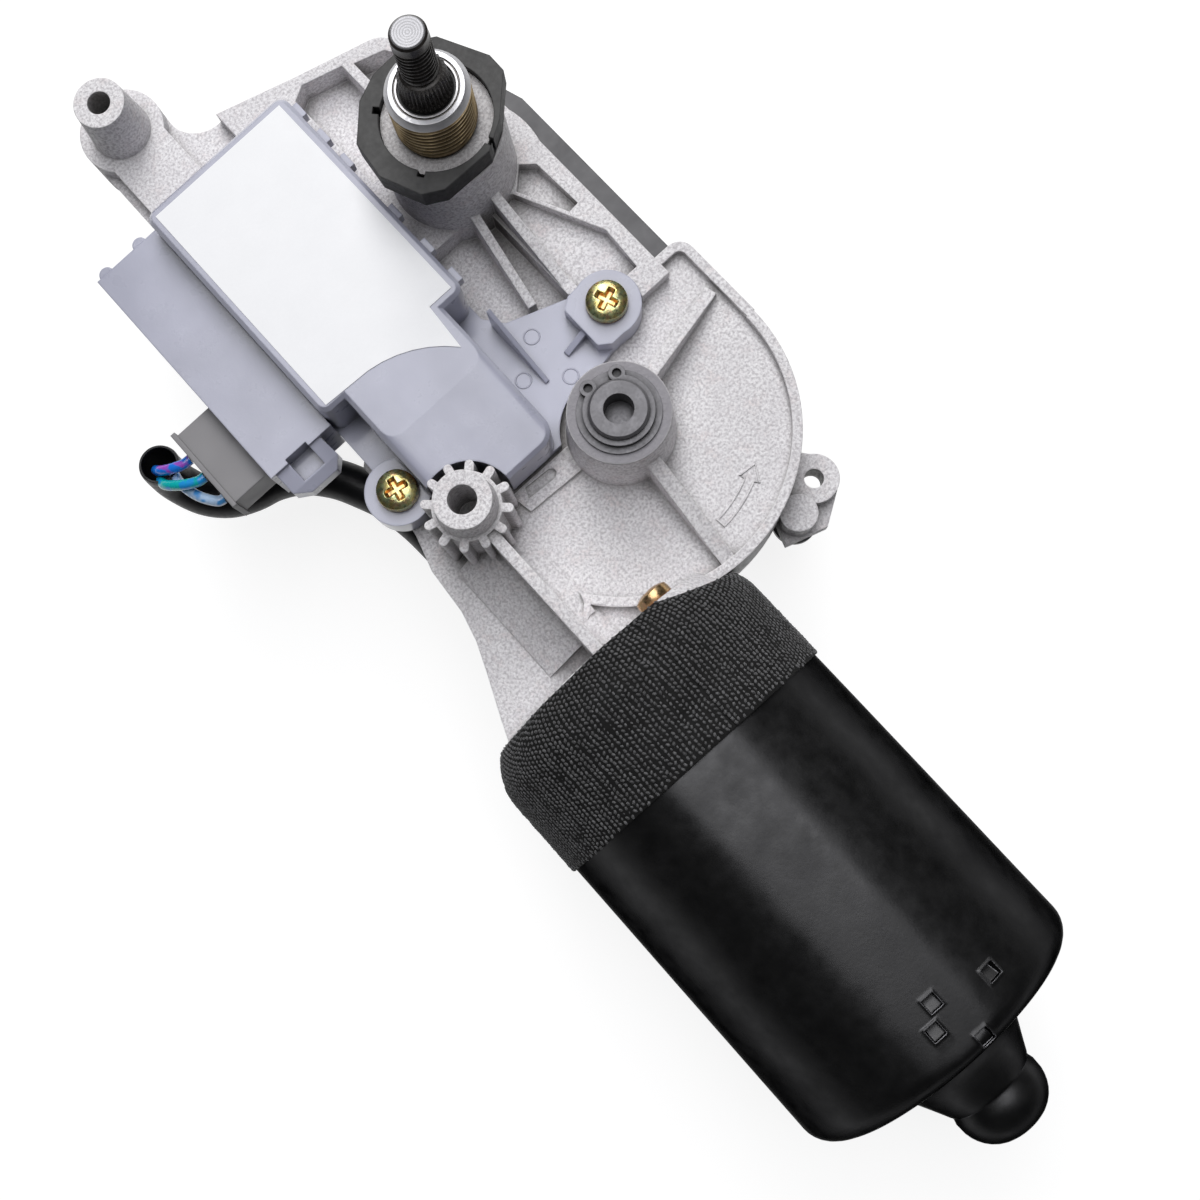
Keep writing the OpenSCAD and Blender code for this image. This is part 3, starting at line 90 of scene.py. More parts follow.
class Finish:
    """One surface finish: a Principled shader, and the patterns that drive its colour, roughness and bump."""

    def __init__(self, name, colour, roughness, metallic=0.0, **sockets):
        self.material = bpy.data.materials.new(name + "_finish")
        self.material.use_nodes = True
        self.material.diffuse_color = (*colour, 1)
        self.tree = self.material.node_tree
        self.shader = self.tree.nodes["Principled BSDF"]
        sockets.update(Base_Color=(*colour, 1), Roughness=roughness, Metallic=metallic)
        for socket, value in sockets.items():
            self.shader.inputs[socket.replace("_", " ")].default_value = value
        self.place = self.add("ShaderNodeTexCoord").outputs["Object"]
        self.normal = None

    def feed(self, socket, value):
        """Links a pattern to a socket, or sets the socket to a plain value."""
        if isinstance(value, bpy.types.NodeSocket):
            self.tree.links.new(value, socket)
        else:
            socket.default_value = value

    def add(self, kind, inputs=None, **settings):
        """A new node with its settings, and with patterns or plain values for its inputs."""
        made = self.tree.nodes.new(kind)
        for key, value in settings.items():
            setattr(made, key, value)
        for key, value in (inputs or {}).items():
            self.feed(made.inputs[key], value)
        return made

    def turned(self, angles):
        """Object coordinates, turned so that a second noise of like size doesn't repeat the first."""
        return self.add("ShaderNodeMapping", {"Vector": self.place, "Rotation": angles}).outputs["Vector"]

    def clouds(self, size, detail=3.0, rough=0.55, where=None):
        """Soft noise whose blotches are about one size across."""
        made = self.add("ShaderNodeTexNoise", {
            "Vector": where or self.place, "Scale": 1 / size, "Detail": detail, "Roughness": rough})
        return made.outputs["Fac"]

    def cells(self, size):
        """Cells about one size across, that are lowest in their middles."""
        return self.add("ShaderNodeTexVoronoi", {"Vector": self.place, "Scale": 1 / size}).outputs["Distance"]

    def spread(self, source, low, high, out_low=0.0, out_high=1.0):
        """Stretches the range low to high of a pattern over another range."""
        made = self.add("ShaderNodeMapRange", {
            "Value": source, "From Min": low, "From Max": high, "To Min": out_low, "To Max": out_high})
        return made.outputs["Result"]

    def tint(self, factor, below, above):
        """Colour that goes from one to another with a pattern. Either may be a pattern's own colour."""
        made = self.add("ShaderNodeMix", data_type="RGBA")
        for key, kind, value in (("Factor", "VALUE", factor), ("A", "RGBA", below), ("B", "RGBA", above)):
            socket = next(s for s in made.inputs if s.name == key and s.type == kind)
            self.feed(socket, (*value, 1) if isinstance(value, tuple) else value)
        return next(s for s in made.outputs if s.type == "RGBA")

    def calc(self, operation, a, b=0.0):
        return self.add("ShaderNodeMath", {0: a, 1: b}, operation=operation).outputs["Value"]

    def soft_edges(self, radius):
        """Rounds the sharp edges by a radius, and returns a pattern that is 1 on the edges."""
        rounded = self.add("ShaderNodeBevel", {"Radius": radius}, samples=6)
        flat = self.add("ShaderNodeNewGeometry").outputs["Normal"]
        likeness = self.add("ShaderNodeVectorMath", {0: rounded.outputs["Normal"], 1: flat}, operation="DOT_PRODUCT")
        self.normal = rounded.outputs["Normal"]
        return self.spread(likeness.outputs["Value"], 0.995, 0.8)

    def corners(self, reach, clear=0.85, deep=0.3):
        """A pattern that is 1 deep in the corners and recesses: the mask for painted shade there."""
        open_share = self.add("ShaderNodeAmbientOcclusion", {"Distance": reach}, samples=6).outputs["AO"]
        return self.spread(open_share, clear, deep)

    def between(self, low, high, axis="Z"):
        """A pattern that goes from 0 to 1 between two places along an axis."""
        return self.spread(self.add("ShaderNodeSeparateXYZ", {0: self.place}).outputs[axis], low, high)

    def off_axis(self, x, y):
        """Distance from an upright axis."""
        place = self.add("ShaderNodeSeparateXYZ", {0: self.place}).outputs
        a, b = (self.calc("SUBTRACT", place[axis], middle) for axis, middle in (("X", x), ("Y", y)))
        return self.calc("SQRT", self.calc("ADD", self.calc("MULTIPLY", a, a), self.calc("MULTIPLY", b, b)))

    def colour(self, base, *layers):
        """Surface colour: a base, and layers of a pattern, the share that it covers by and a colour."""
        for pattern, share, colour in layers:
            base = self.tint(self.calc("MULTIPLY", pattern, share), base, colour)
        self.feed(self.shader.inputs["Base Color"], base)

    def rough(self, source, low, high, from_low=0.3, from_high=0.7):
        """Roughness that goes from low to high with a pattern."""
        self.tree.links.new(self.spread(source, from_low, from_high, low, high), self.shader.inputs["Roughness"])

    def bump(self, depth, size, detail=3.0, rough=0.55):
        """Raises the surface by soft noise, depth metres from its lowest to its highest."""
        inputs = {"Height": self.clouds(size, detail, rough), "Distance": depth, "Strength": 1.0}
        if self.normal is not None:
            inputs["Normal"] = self.normal
        self.normal = self.add("ShaderNodeBump", inputs).outputs["Normal"]
        self.tree.links.new(self.normal, self.shader.inputs["Normal"])


def cast_aluminium(name):
    """Sand-grey die casting: grainy, with bright specks, edges paler where worn and by painted highlight, and painted
    shade in its recesses.
    """
    skin = Finish(name, (0.5, 0.49, 0.49), 0.6, Specular_IOR_Level=0.35)
    edges = skin.soft_edges(0.4 * MM)
    recess_shade = skin.corners(4.5 * MM, 0.72, 0.2)
    blotches = skin.spread(skin.clouds(8 * MM, 4, 0.6), 0.35, 0.65)
    grain = skin.spread(skin.clouds(0.5 * MM, 3, 0.6), 0.4, 0.64)
    specks = skin.spread(skin.cells(0.5 * MM), 0.32, 0.12)
    stain = skin.spread(skin.clouds(3.2 * MM, 3, 0.6, skin.turned((0.5, 0.2, 0.9))), 0.55, 0.72)
    # The turned top of the wheel shaft's boss
    boss_radius, boss_top = 8.7 * MM, -8.8 * MM
    faced = skin.calc("MULTIPLY", skin.between(boss_top - 0.15 * MM, boss_top),
                      skin.spread(skin.off_axis(WHEEL_X, WHEEL_Y), boss_radius + 0.1 * MM, boss_radius))
    # Painted shade darkens the recesses; the pale edges are partly worn metal, partly painted highlight.
    skin.colour((0.84, 0.825, 0.845), (blotches, 1, (0.93, 0.92, 0.935)), (stain, 0.4, (0.74, 0.62, 0.61)),
                (grain, 1, (0.56, 0.54, 0.56)), (specks, 0.7, (0.97, 0.97, 0.98)),
                (recess_shade, 0.85, (0.085, 0.078, 0.066)), (faced, 1, (0.31, 0.30, 0.325)),
                (edges, 0.75, (0.93, 0.92, 0.92)))
    skin.rough(grain, 0.42, 0.66, 0, 1)
    skin.bump(0.17 * MM, 0.55 * MM, 3, 0.65)
    skin.bump(0.2 * MM, 5 * MM, 2, 0.5)
    return skin.material


def painted_steel(name, colour, roughness, metallic, rubbed_edge_and_highlight, glint=1.0):
    """Sheet steel with a thin coat of paint, faintly uneven, whose edges are lighter: rubbed paint, and a painted
    highlight.
    """
    skin = Finish(name, colour, roughness, metallic, Specular_Tint=(glint, glint, glint, 1))
    edges = skin.soft_edges(0.3 * MM)
    patches = skin.spread(skin.clouds(14 * MM), 0.35, 0.65)
    # The lighter edges are rubbed paint and painted highlight; on the can they light the lips of the pressed tabs.
    skin.colour(colour, (patches, 1, shade(colour, 1.25, 0.004)), (edges, 0.6, rubbed_edge_and_highlight))
    skin.rough(skin.clouds(3 * MM, 4), roughness - 0.06, roughness + 0.08)
    skin.bump(0.012 * MM, 0.7 * MM, 3, 0.6)
    return skin.material


def machined(name, colour, roughness, metallic=0.8):
    """Turned or drawn metal with fine marks, a slight stain and painted shade in its recesses."""
    skin = Finish(name, colour, roughness, metallic)
    edges = skin.soft_edges(0.15 * MM)
    recess_shade = skin.corners(1.4 * MM, 0.9, 0.45)
    stain = skin.spread(skin.clouds(3 * MM, 4, 0.6), 0.35, 0.7)
    # Painted shade darkens the recesses.
    skin.colour(colour, (stain, 1, shade(colour, 0.7)), (recess_shade, 0.9, shade(colour, 0.1)),
                (edges, 0.6, shade(colour, 1.45, 0.06)))
    skin.rough(skin.clouds(0.4 * MM), roughness - 0.08, roughness + 0.1)
    skin.bump(0.012 * MM, 0.4 * MM, 3, 0.6)
    return skin.material


def sleeve_metal(name):
    """Brown passivated thread below a bright turned lip, with painted shade in the thread's grooves."""
    skin = Finish(name, (0.30, 0.21, 0.11), 0.4, 0.8)
    edges = skin.soft_edges(0.12 * MM)
    recess_shade = skin.corners(0.9 * MM, 0.95, 0.55)
    stain = skin.spread(skin.clouds(2 * MM, 4, 0.6), 0.35, 0.7)
    lip = skin.between(SLEEVE_HIGH.z - 1.2 * MM, SLEEVE_HIGH.z - 1.05 * MM)
    # Painted shade darkens the thread's grooves and keeps the lip's bright colour out of them.
    skin.colour((0.56, 0.43, 0.25), (stain, 1, (0.36, 0.26, 0.13)), (recess_shade, 1, (0.02, 0.014, 0.008)),
                (lip, skin.spread(recess_shade, 0, 1, 1, 0.15), (0.50, 0.50, 0.52)), (edges, 0.35, (0.75, 0.68, 0.52)))
    skin.rough(skin.clouds(0.5 * MM), 0.3, 0.48)
    skin.bump(0.01 * MM, 0.4 * MM, 3, 0.6)
    return skin.material


def spindle_steel(name):
    """Blackened steel, whose faced end is worn bright in fine rings."""
    skin = Finish(name, (0.02, 0.018, 0.017), 0.3, 0.35)
    edges = skin.soft_edges(0.15 * MM)
    stain = skin.spread(skin.clouds(2.2 * MM, 4, 0.6), 0.4, 0.7)
    ring_pitch = 0.42 * MM
    rings = skin.calc("SINE", skin.calc("MULTIPLY", skin.off_axis(0, 0), TURN / ring_pitch))
    faced = skin.tint(skin.spread(rings, -1, 1), (0.24, 0.24, 0.25), (0.38, 0.38, 0.40))
    end = skin.between(SPINDLE_TOP - 0.2 * MM, SPINDLE_TOP - 0.1 * MM)
    skin.colour((0.016, 0.014, 0.013), (stain, 1, (0.04, 0.034, 0.03)), (end, 1, faced),
                (edges, 0.3, (0.24, 0.22, 0.21)))
    skin.rough(skin.clouds(0.6 * MM), 0.22, 0.36)
    skin.bump(0.015 * MM, 0.5 * MM, 3, 0.6)
    return skin.material


def passivated(name, colour, iris):
    """Yellow passivated zinc, whose thin film shifts to green, rose and orange."""
    skin = Finish(name, colour, 0.22, 1.0)
    edges = skin.soft_edges(0.15 * MM)
    recess_shade = skin.corners(1.4 * MM, 0.85, 0.45)
    film = skin.spread(skin.clouds(1.3 * MM, 3, 0.6), 0.4, 0.62)
    rose = skin.spread(skin.clouds(0.9 * MM, 2, 0.5, skin.turned((0.7, 0.4, 0.2))), 0.52, 0.66)
    at_bell = skin.between(-74 * MM, -75 * MM, "Y")
    # In the recess: an orange-brown film colour, darkened as painted shade.
    skin.colour(colour, (film, 1, iris), (rose, 0.45, (0.62, 0.30, 0.22)), (recess_shade, 0.8, (0.55, 0.22, 0.07)),
                (at_bell, 0.7, (0.50, 0.27, 0.15)), (edges, 0.3, (0.85, 0.82, 0.66)))
    skin.rough(skin.clouds(0.8 * MM), 0.2, 0.36)
    skin.bump(0.03 * MM, 0.7 * MM)
    return skin.material


def moulded(name, colour, roughness, coat=0.0):
    """Moulded plastic: even colour, slight sink marks, rounded edges and painted shade in its recesses."""
    skin = Finish(name, colour, roughness, Coat_Weight=coat, Coat_Roughness=0.12)
    edges = skin.soft_edges(0.4 * MM)
    recess_shade = skin.corners(3.5 * MM, 0.75, 0.25)
    drift = skin.spread(skin.clouds(12 * MM, 2), 0.35, 0.65)
    # Painted shade darkens the recesses.
    skin.colour(shade(colour, 0.9), (drift, 1, colour), (recess_shade, 0.8, shade(colour, 0.16)),
                (edges, 0.6, shade(colour, 1.12, 0.01)))
    skin.rough(skin.clouds(4 * MM), roughness - 0.05, roughness + 0.07)
    skin.bump(0.12 * MM, 9 * MM, 2, 0.4)
    skin.bump(0.012 * MM, 0.5 * MM, 3, 0.6)
    return skin.material


def wire(name, colour, second):
    """Glossy lead insulation with a few marks of a second colour."""
    skin = Finish(name, colour, 0.25, Coat_Weight=0.5, Coat_Roughness=0.1)
    skin.colour(colour, (skin.spread(skin.clouds(2 * MM, 1, 0.4), 0.54, 0.62), 1, second))
    skin.rough(skin.clouds(2 * MM, 2), 0.2, 0.35)
    skin.bump(0.02 * MM, 0.8 * MM, 2)
    return skin.material


def rubber(name, colour, roughness, top=None):
    """Moulded rubber with a dusty bloom, and a paler tone above the height of its top."""
    skin = Finish(name, colour, roughness, Specular_IOR_Level=0.3)
    layers = [(skin.soft_edges(0.3 * MM), 0.6, shade(colour, 1.7, 0.01))]
    bloom = skin.spread(skin.clouds(5 * MM, 4, 0.65), 0.35, 0.7)
    if top:
        paler_top = skin.tint(bloom, (0.06,) * 3, (0.085,) * 3)
        layers.insert(0, (skin.between(top - 0.25 * MM, top - 0.1 * MM), 1, paler_top))
    skin.colour(colour, (bloom, 1, shade(colour, 1.3, 0.004)), *layers)
    skin.rough(skin.clouds(0.8 * MM), roughness - 0.07, roughness + 0.1)
    skin.bump(0.02 * MM, 0.35 * MM, 3, 0.6)
    return skin.material


def paper(name, colour):
    """Smooth coated paper."""
    skin = Finish(name, colour, 0.45)
    skin.colour(colour, (skin.spread(skin.clouds(0.6 * MM), 0.3, 0.7), 1, shade(colour, 0.985)))
    skin.rough(skin.clouds(5 * MM, 2), 0.4, 0.52)
    skin.bump(0.004 * MM, 0.5 * MM)
    return skin.material


def yarn(name, colour):
    """Dull black cotton yarn of the wound tape, with dusty loops and painted shade between them."""
    skin = Finish(name, colour, 0.7, Sheen_Weight=0.3, Sheen_Roughness=0.4)
    gap_shade = skin.corners(0.8 * MM, 0.85, 0.4)
    fibres = skin.spread(skin.clouds(0.5 * MM, 3, 0.6), 0.45, 0.62)
    patches = skin.spread(skin.clouds(6 * MM), 0.4, 0.62)
    # Painted shade darkens the narrow spaces between the stitches.
    skin.colour(colour, (patches, 1, shade(colour, 1.5)), (fibres, 0.75, shade(colour, 3, 0.03)),
                (gap_shade, 1, shade(colour, 0.12)))
    skin.rough(fibres, 0.55, 0.8, 0, 1)
    skin.bump(0.06 * MM, 0.2 * MM)
    return skin.material


# For each of the record's slots: what makes its finish, and the values for that
FINISHES = {
    "cast_aluminium": (cast_aluminium,),
    "cover_steel": (painted_steel, (0.066, 0.065, 0.07), 0.45, 0.0, (0.1, 0.1, 0.1)),
    "gasket": (rubber, (0.03, 0.03, 0.032), 0.62),
    "zinc_screw": (passivated, (0.62, 0.52, 0.20), (0.46, 0.54, 0.30)),
    "bronze": (machined, (0.55, 0.36, 0.18), 0.4),
    "sleeve_metal": (sleeve_metal,),
    "seal_rubber": (rubber, (0.014, 0.014, 0.015), 0.6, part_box("tower_seal")[1].z),
    "spindle_steel": (spindle_steel,),
    "steel": (machined, (0.15, 0.147, 0.157), 0.4, 0.4),
    "wheel_plastic": (moulded, (0.75, 0.71, 0.58), 0.4),
    "laminations": (machined, (0.36, 0.36, 0.38), 0.45),
    "copper": (machined, (0.62, 0.26, 0.12), 0.32),
    # The can's edge colour: rubbed paint, and a painted highlight on the tabs' lips
    "can_paint": (painted_steel, (0.045, 0.045, 0.046), 0.38, 1.0, (0.30, 0.30, 0.32), 0.1),
    "ferrite": (machined, (0.06, 0.06, 0.065), 0.6, 0.1),
    "holder_plastic": (moulded, (0.1, 0.045, 0.025), 0.45),
    "carbon": (machined, (0.035, 0.034, 0.035), 0.55, 0.2),
    "tape": (yarn, (0.044, 0.044, 0.046)),
    "case_plastic": (moulded, (0.42, 0.43, 0.53), 0.3, 0.45),
    "board": (moulded, (0.02, 0.11, 0.05), 0.4),
    "black_plastic": (moulded, (0.018, 0.018, 0.02), 0.4),
    "blue_plastic": (moulded, (0.03, 0.05, 0.2), 0.35),
    "label_paper": (paper, (0.945, 0.955, 0.975)),
    "plug_plastic": (moulded, (0.25, 0.245, 0.255), 0.5, 0.05),
    "wire_blue": (wire, (0.01, 0.20, 0.80), (0.36, 0.08, 0.58)),
    "wire_teal": (wire, (0.0, 0.46, 0.46), (0.01, 0.30, 0.74)),
    "wire_pale": (wire, (0.48, 0.66, 0.90), (0.08, 0.36, 0.80)),
    "sleeve_rubber": (rubber, (0.006, 0.006, 0.007), 0.4),
}


def finish_of(slot):
    """The finish of one of the record's slots, made on its first use."""
    make, *values = FINISHES[slot]
    return bpy.data.materials.get(slot + "_finish") or make(slot, *values)


def slots_by_node():
    """Which material slot the record gives each CAD node."""
    return {row["node"]: row["material_slot"] for row in frame["record"]["subparts"]}


# Meshes

def new_piece(name, body, slot, vertices, faces, replaces=(), smooth_below=40):
    """A finished piece in the row frame, on its body and with its record slot."""
    mesh = bpy.data.meshes.new(name)
    mesh.from_pydata([tuple(v) for v in vertices], [], faces)
    mesh.update()
    return dress(name, mesh, body, slot, replaces, smooth_below)


def dress(name, mesh, body, slot, replaces=(), smooth_below=40):
    """Turns a mesh into a piece: shading, material, body, slot and the CAD nodes that it stands for."""
    piece = bpy.data.objects.new(name, mesh)
    bpy.context.scene.collection.objects.link(piece)
    for polygon in mesh.polygons:
        polygon.use_smooth = True
    mesh.set_sharp_from_angle(angle=math.radians(smooth_below))
    mesh.materials.clear()
    mesh.materials.append(finish_of(slot))
    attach(piece, body)
    if replaces:
        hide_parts(*replaces)
    return piece


def turn_steps(count):
    """The angles of even steps round a full turn."""
    return [TURN * i / count for i in range(count)]


def skin_rings(rings):
    """Faces between rings of vertex numbers. A ring of one vertex closes an end."""
    faces = []
    for low, high in zip(rings, rings[1:]):
        count = max(len(low), len(high))
        for i in range(count):
            j = (i + 1) % count
            if len(low) == 1:
                faces.append((low[0], high[j], high[i]))
            elif len(high) == 1:
                faces.append((low[i], low[j], high[0]))
            else:
                faces.append((low[i], low[j], high[j], high[i]))
    return faces


def lathe(rows, columns, wave):
    """Vertices and rings of a turned shape about Z. A row is (radius, height, depth); wave gives the share of
    the depth that a point at a height and angle stands out. Rows of radius 0 close the ends."""
    vertices, rings = [], []
    for radius, height, depth in rows:
        angles = turn_steps(columns if radius else 1)
        rings.append(range(len(vertices), len(vertices) + len(angles)))
        for angle in angles:
            r = radius + (depth * wave(height, angle) if depth else 0)
            vertices.append((r * math.cos(angle), r * math.sin(angle), height))
    return vertices, rings


def smooth_route(points, steps):
    """A smooth curve through the points, with a number of steps to each stretch."""
    points = [Vector(point) for point in points]
    points = [2 * points[0] - points[1], *points, 2 * points[-1] - points[-2]]
    route = []
    for a, b, c, d in zip(points, points[1:], points[2:], points[3:]):
        for k in range(steps):
            s = k / steps
            route.append(b + 0.5 * s * ((c - a) + s * ((2 * a - 5 * b + 4 * c - d) + s * (3 * b - a - 3 * c + d))))
    return route + [points[-2]]


def stations(route):
    """A point, a side and an up direction for each step of a route, with no twist between them."""
    made, side = [], None
    for i, point in enumerate(route):
        ahead = (route[min(i + 1, len(route) - 1)] - route[max(i - 1, 0)]).normalized()
        side = side or ahead.orthogonal()
        side = (side - ahead * side.dot(ahead)).normalized()
        made.append((point, side, ahead.cross(side)))
    return made


def tube(rings, columns):
    """Closed skin over rings, each a (station, radius), with a flat cap at both ends."""
    vertices = []
    for (point, side, up), radius in rings:
        for angle in turn_steps(columns):
            vertices.append(point + radius * (math.cos(angle) * side + math.sin(angle) * up))
    count = len(vertices)
    skin = [range(first, first + columns) for first in range(0, count, columns)]
    return vertices + [rings[0][0][0], rings[-1][0][0]], skin_rings([[count], *skin, [count + 1]])


def ridge(path, width, low, high, close=False):
    """Raised line along a flat path: a flat top with sloping sides."""
    path = [Vector(point) for point in path]
    vertices, faces, count = [], [], len(path)
    for i, point in enumerate(path):
        before = path[i - 1] if i or close else point
        after = path[(i + 1) % count] if i + 1 < count or close else point
        ahead = (after - before).normalized()
        across = Vector((ahead.y, -ahead.x))
        for share, height in ((-0.5, low), (-0.3, high), (0.3, high), (0.5, low)):
            spot = point + share * width * across
            vertices.append((spot.x, spot.y, height))
    for i in range(count if close else count - 1):
        a, b = 4 * i, 4 * ((i + 1) % count)
        for k in range(4):
            j = (k + 1) % 4
            faces.append((a + k, a + j, b + j, b + k))
    if not close:
        faces += [(3, 2, 1, 0), tuple(4 * count - 4 + k for k in range(4))]
    return vertices, faces


def plain_rows(base, *rows):
    """Smooth rows for a lathe, each a radius and a height over the base in millimetres."""
    return [(radius * MM, base + height * MM, 0) for radius, height in rows]


def thread_rows(low, high, radius, depth, pitch, lead=0.6):
    """Rows for a threaded stretch, eight to each turn, whose depth fades in and out over a lead of turns."""
    count = max(2, round((high - low) / pitch * 8))
    rows = []
    for i in range(count + 1):
        height = low + (high - low) * i / count
        fade = min(1.0, (height - low) / (lead * pitch), (high - height) / (lead * pitch))
        rows.append((radius - depth * fade, height, depth * fade))
    return rows


def thread_wave(pitch):
    """A right-hand thread's V profile with a flattened crest, as a share of its depth."""
    def wave(height, angle):
        turn = (height / pitch - angle / TURN) % 1.0
        return min(1.0, 1.25 * (1 - abs(2 * turn - 1)))
    return wave


# Geometry Nodes: copies of one template on a set of places

def copies_tree():
    """Copies of a template on points, turned by their attributes outward and along."""
    tree = bpy.data.node_groups.get("copies_on_places")
    if tree:
        return tree
    tree = bpy.data.node_groups.new("copies_on_places", "GeometryNodeTree")
    for socket, way, kind in (("Places", "INPUT", "Geometry"), ("Template", "INPUT", "Object"),
                              ("Finish", "INPUT", "Material"), ("Copies", "OUTPUT", "Geometry")):
        tree.interface.new_socket(socket, in_out=way, socket_type="NodeSocket" + kind)
    add = tree.nodes.new
    given, result, template = add("NodeGroupInput"), add("NodeGroupOutput"), add("GeometryNodeObjectInfo")
    outward, along = (add("GeometryNodeInputNamedAttribute") for _ in range(2))
    for read, name in ((outward, "outward"), (along, "along")):
        read.data_type = "FLOAT_VECTOR"
        read.inputs["Name"].default_value = name
    turned = add("FunctionNodeAxesToRotation")
    turned.primary_axis, turned.secondary_axis = "Z", "X"
    placed, real = add("GeometryNodeInstanceOnPoints"), add("GeometryNodeRealizeInstances")
    finished = add("GeometryNodeSetMaterial")
    for source, output, target, socket in (
            (given, "Template", template, "Object"), (outward, "Attribute", turned, "Primary Axis"),
            (along, "Attribute", turned, "Secondary Axis"), (given, "Places", placed, "Points"),
            (template, "Geometry", placed, "Instance"), (turned, "Rotation", placed, "Rotation"),
            (placed, "Instances", real, "Geometry"), (real, "Geometry", finished, "Geometry"),
            (given, "Finish", finished, "Material"), (finished, "Geometry", result, "Copies")):
        tree.links.new(source.outputs[output], target.inputs[socket])
    return tree


def copies(name, body, slot, template, places, replaces=(), smooth_below=40):
    """One piece made of copies of a template mesh, one on each (point, outward, along)."""
    mesh = bpy.data.meshes.new(name + "_places")
    mesh.from_pydata([tuple(p) for p, _, _ in places], [], [])
    for key, column in (("outward", 1), ("along", 2)):
        attribute = mesh.attributes.new(key, "FLOAT_VECTOR", "POINT")
        attribute.data.foreach_set("vector", [c for place in places for c in place[column]])
    carrier = bpy.data.objects.new(name + "_places", mesh)
    source = bpy.data.objects.new(name + "_template", template)
    for made in (carrier, source):
        bpy.context.scene.collection.objects.link(made)
    tree = copies_tree()
    modifier = carrier.modifiers.new("copies", "NODES")
    modifier.node_group = tree
    sockets = {s.name: s.identifier for s in tree.interface.items_tree if s.in_out == "INPUT"}
    modifier[sockets["Template"]] = source
    modifier[sockets["Finish"]] = finish_of(slot)
    evaluated = carrier.evaluated_get(bpy.context.evaluated_depsgraph_get())
    result = bpy.data.meshes.new_from_object(evaluated)
    carrier.modifiers.remove(modifier)
    for made in (carrier, source):
        bpy.data.objects.remove(made)
    if not result.polygons:
        raise RuntimeError(f"{name}: no copies were made")
    result.name = name
    return dress(name, result, body, slot, replaces, smooth_below)


# Sizes that a user would change

class ThreadSizes(bpy.types.PropertyGroup):
    sleeve_pitch: bpy.props.FloatProperty(
        name="Sleeve pitch", description="Pitch of the sleeve's outer thread",
        default=1.15 * MM, unit="LENGTH", subtype="DISTANCE")
    arm_pitch: bpy.props.FloatProperty(
        name="Arm thread pitch", description="Pitch of the spindle's end thread",
        default=1.0 * MM, unit="LENGTH", subtype="DISTANCE")
    splines: bpy.props.IntProperty(
        name="Splines", description="Teeth round the spindle's cone", default=36, min=12, max=60)


class TapeSizes(bpy.types.PropertyGroup):
    stitch: bpy.props.FloatProperty(
        name="Stitch", description="Distance between the tape's stitch columns",
        default=0.9 * MM, unit="LENGTH", subtype="DISTANCE")
    thickness: bpy.props.FloatProperty(
        name="Thickness", description="Thickness of the wound tape",
        default=0.45 * MM, unit="LENGTH", subtype="DISTANCE")


class LeadSizes(bpy.types.PropertyGroup):
    wire: bpy.props.FloatProperty(
        name="Wire", description="Diameter of a lead wire", default=1.9 * MM, unit="LENGTH", subtype="DISTANCE")
    sleeve: bpy.props.FloatProperty(
        name="Sleeve", description="Diameter of the leads' sleeve",
        default=7.4 * MM, unit="LENGTH", subtype="DISTANCE")


class StudioSettings(bpy.types.PropertyGroup):
    floor: bpy.props.FloatVectorProperty(
        name="Floor", description="Colour of the floor", default=(0.24, 0.24, 0.24), subtype="COLOR")
    sky: bpy.props.FloatProperty(
        name="Sky", description="Strength of the even light all round", default=0.07, min=0, max=2)


# Operators

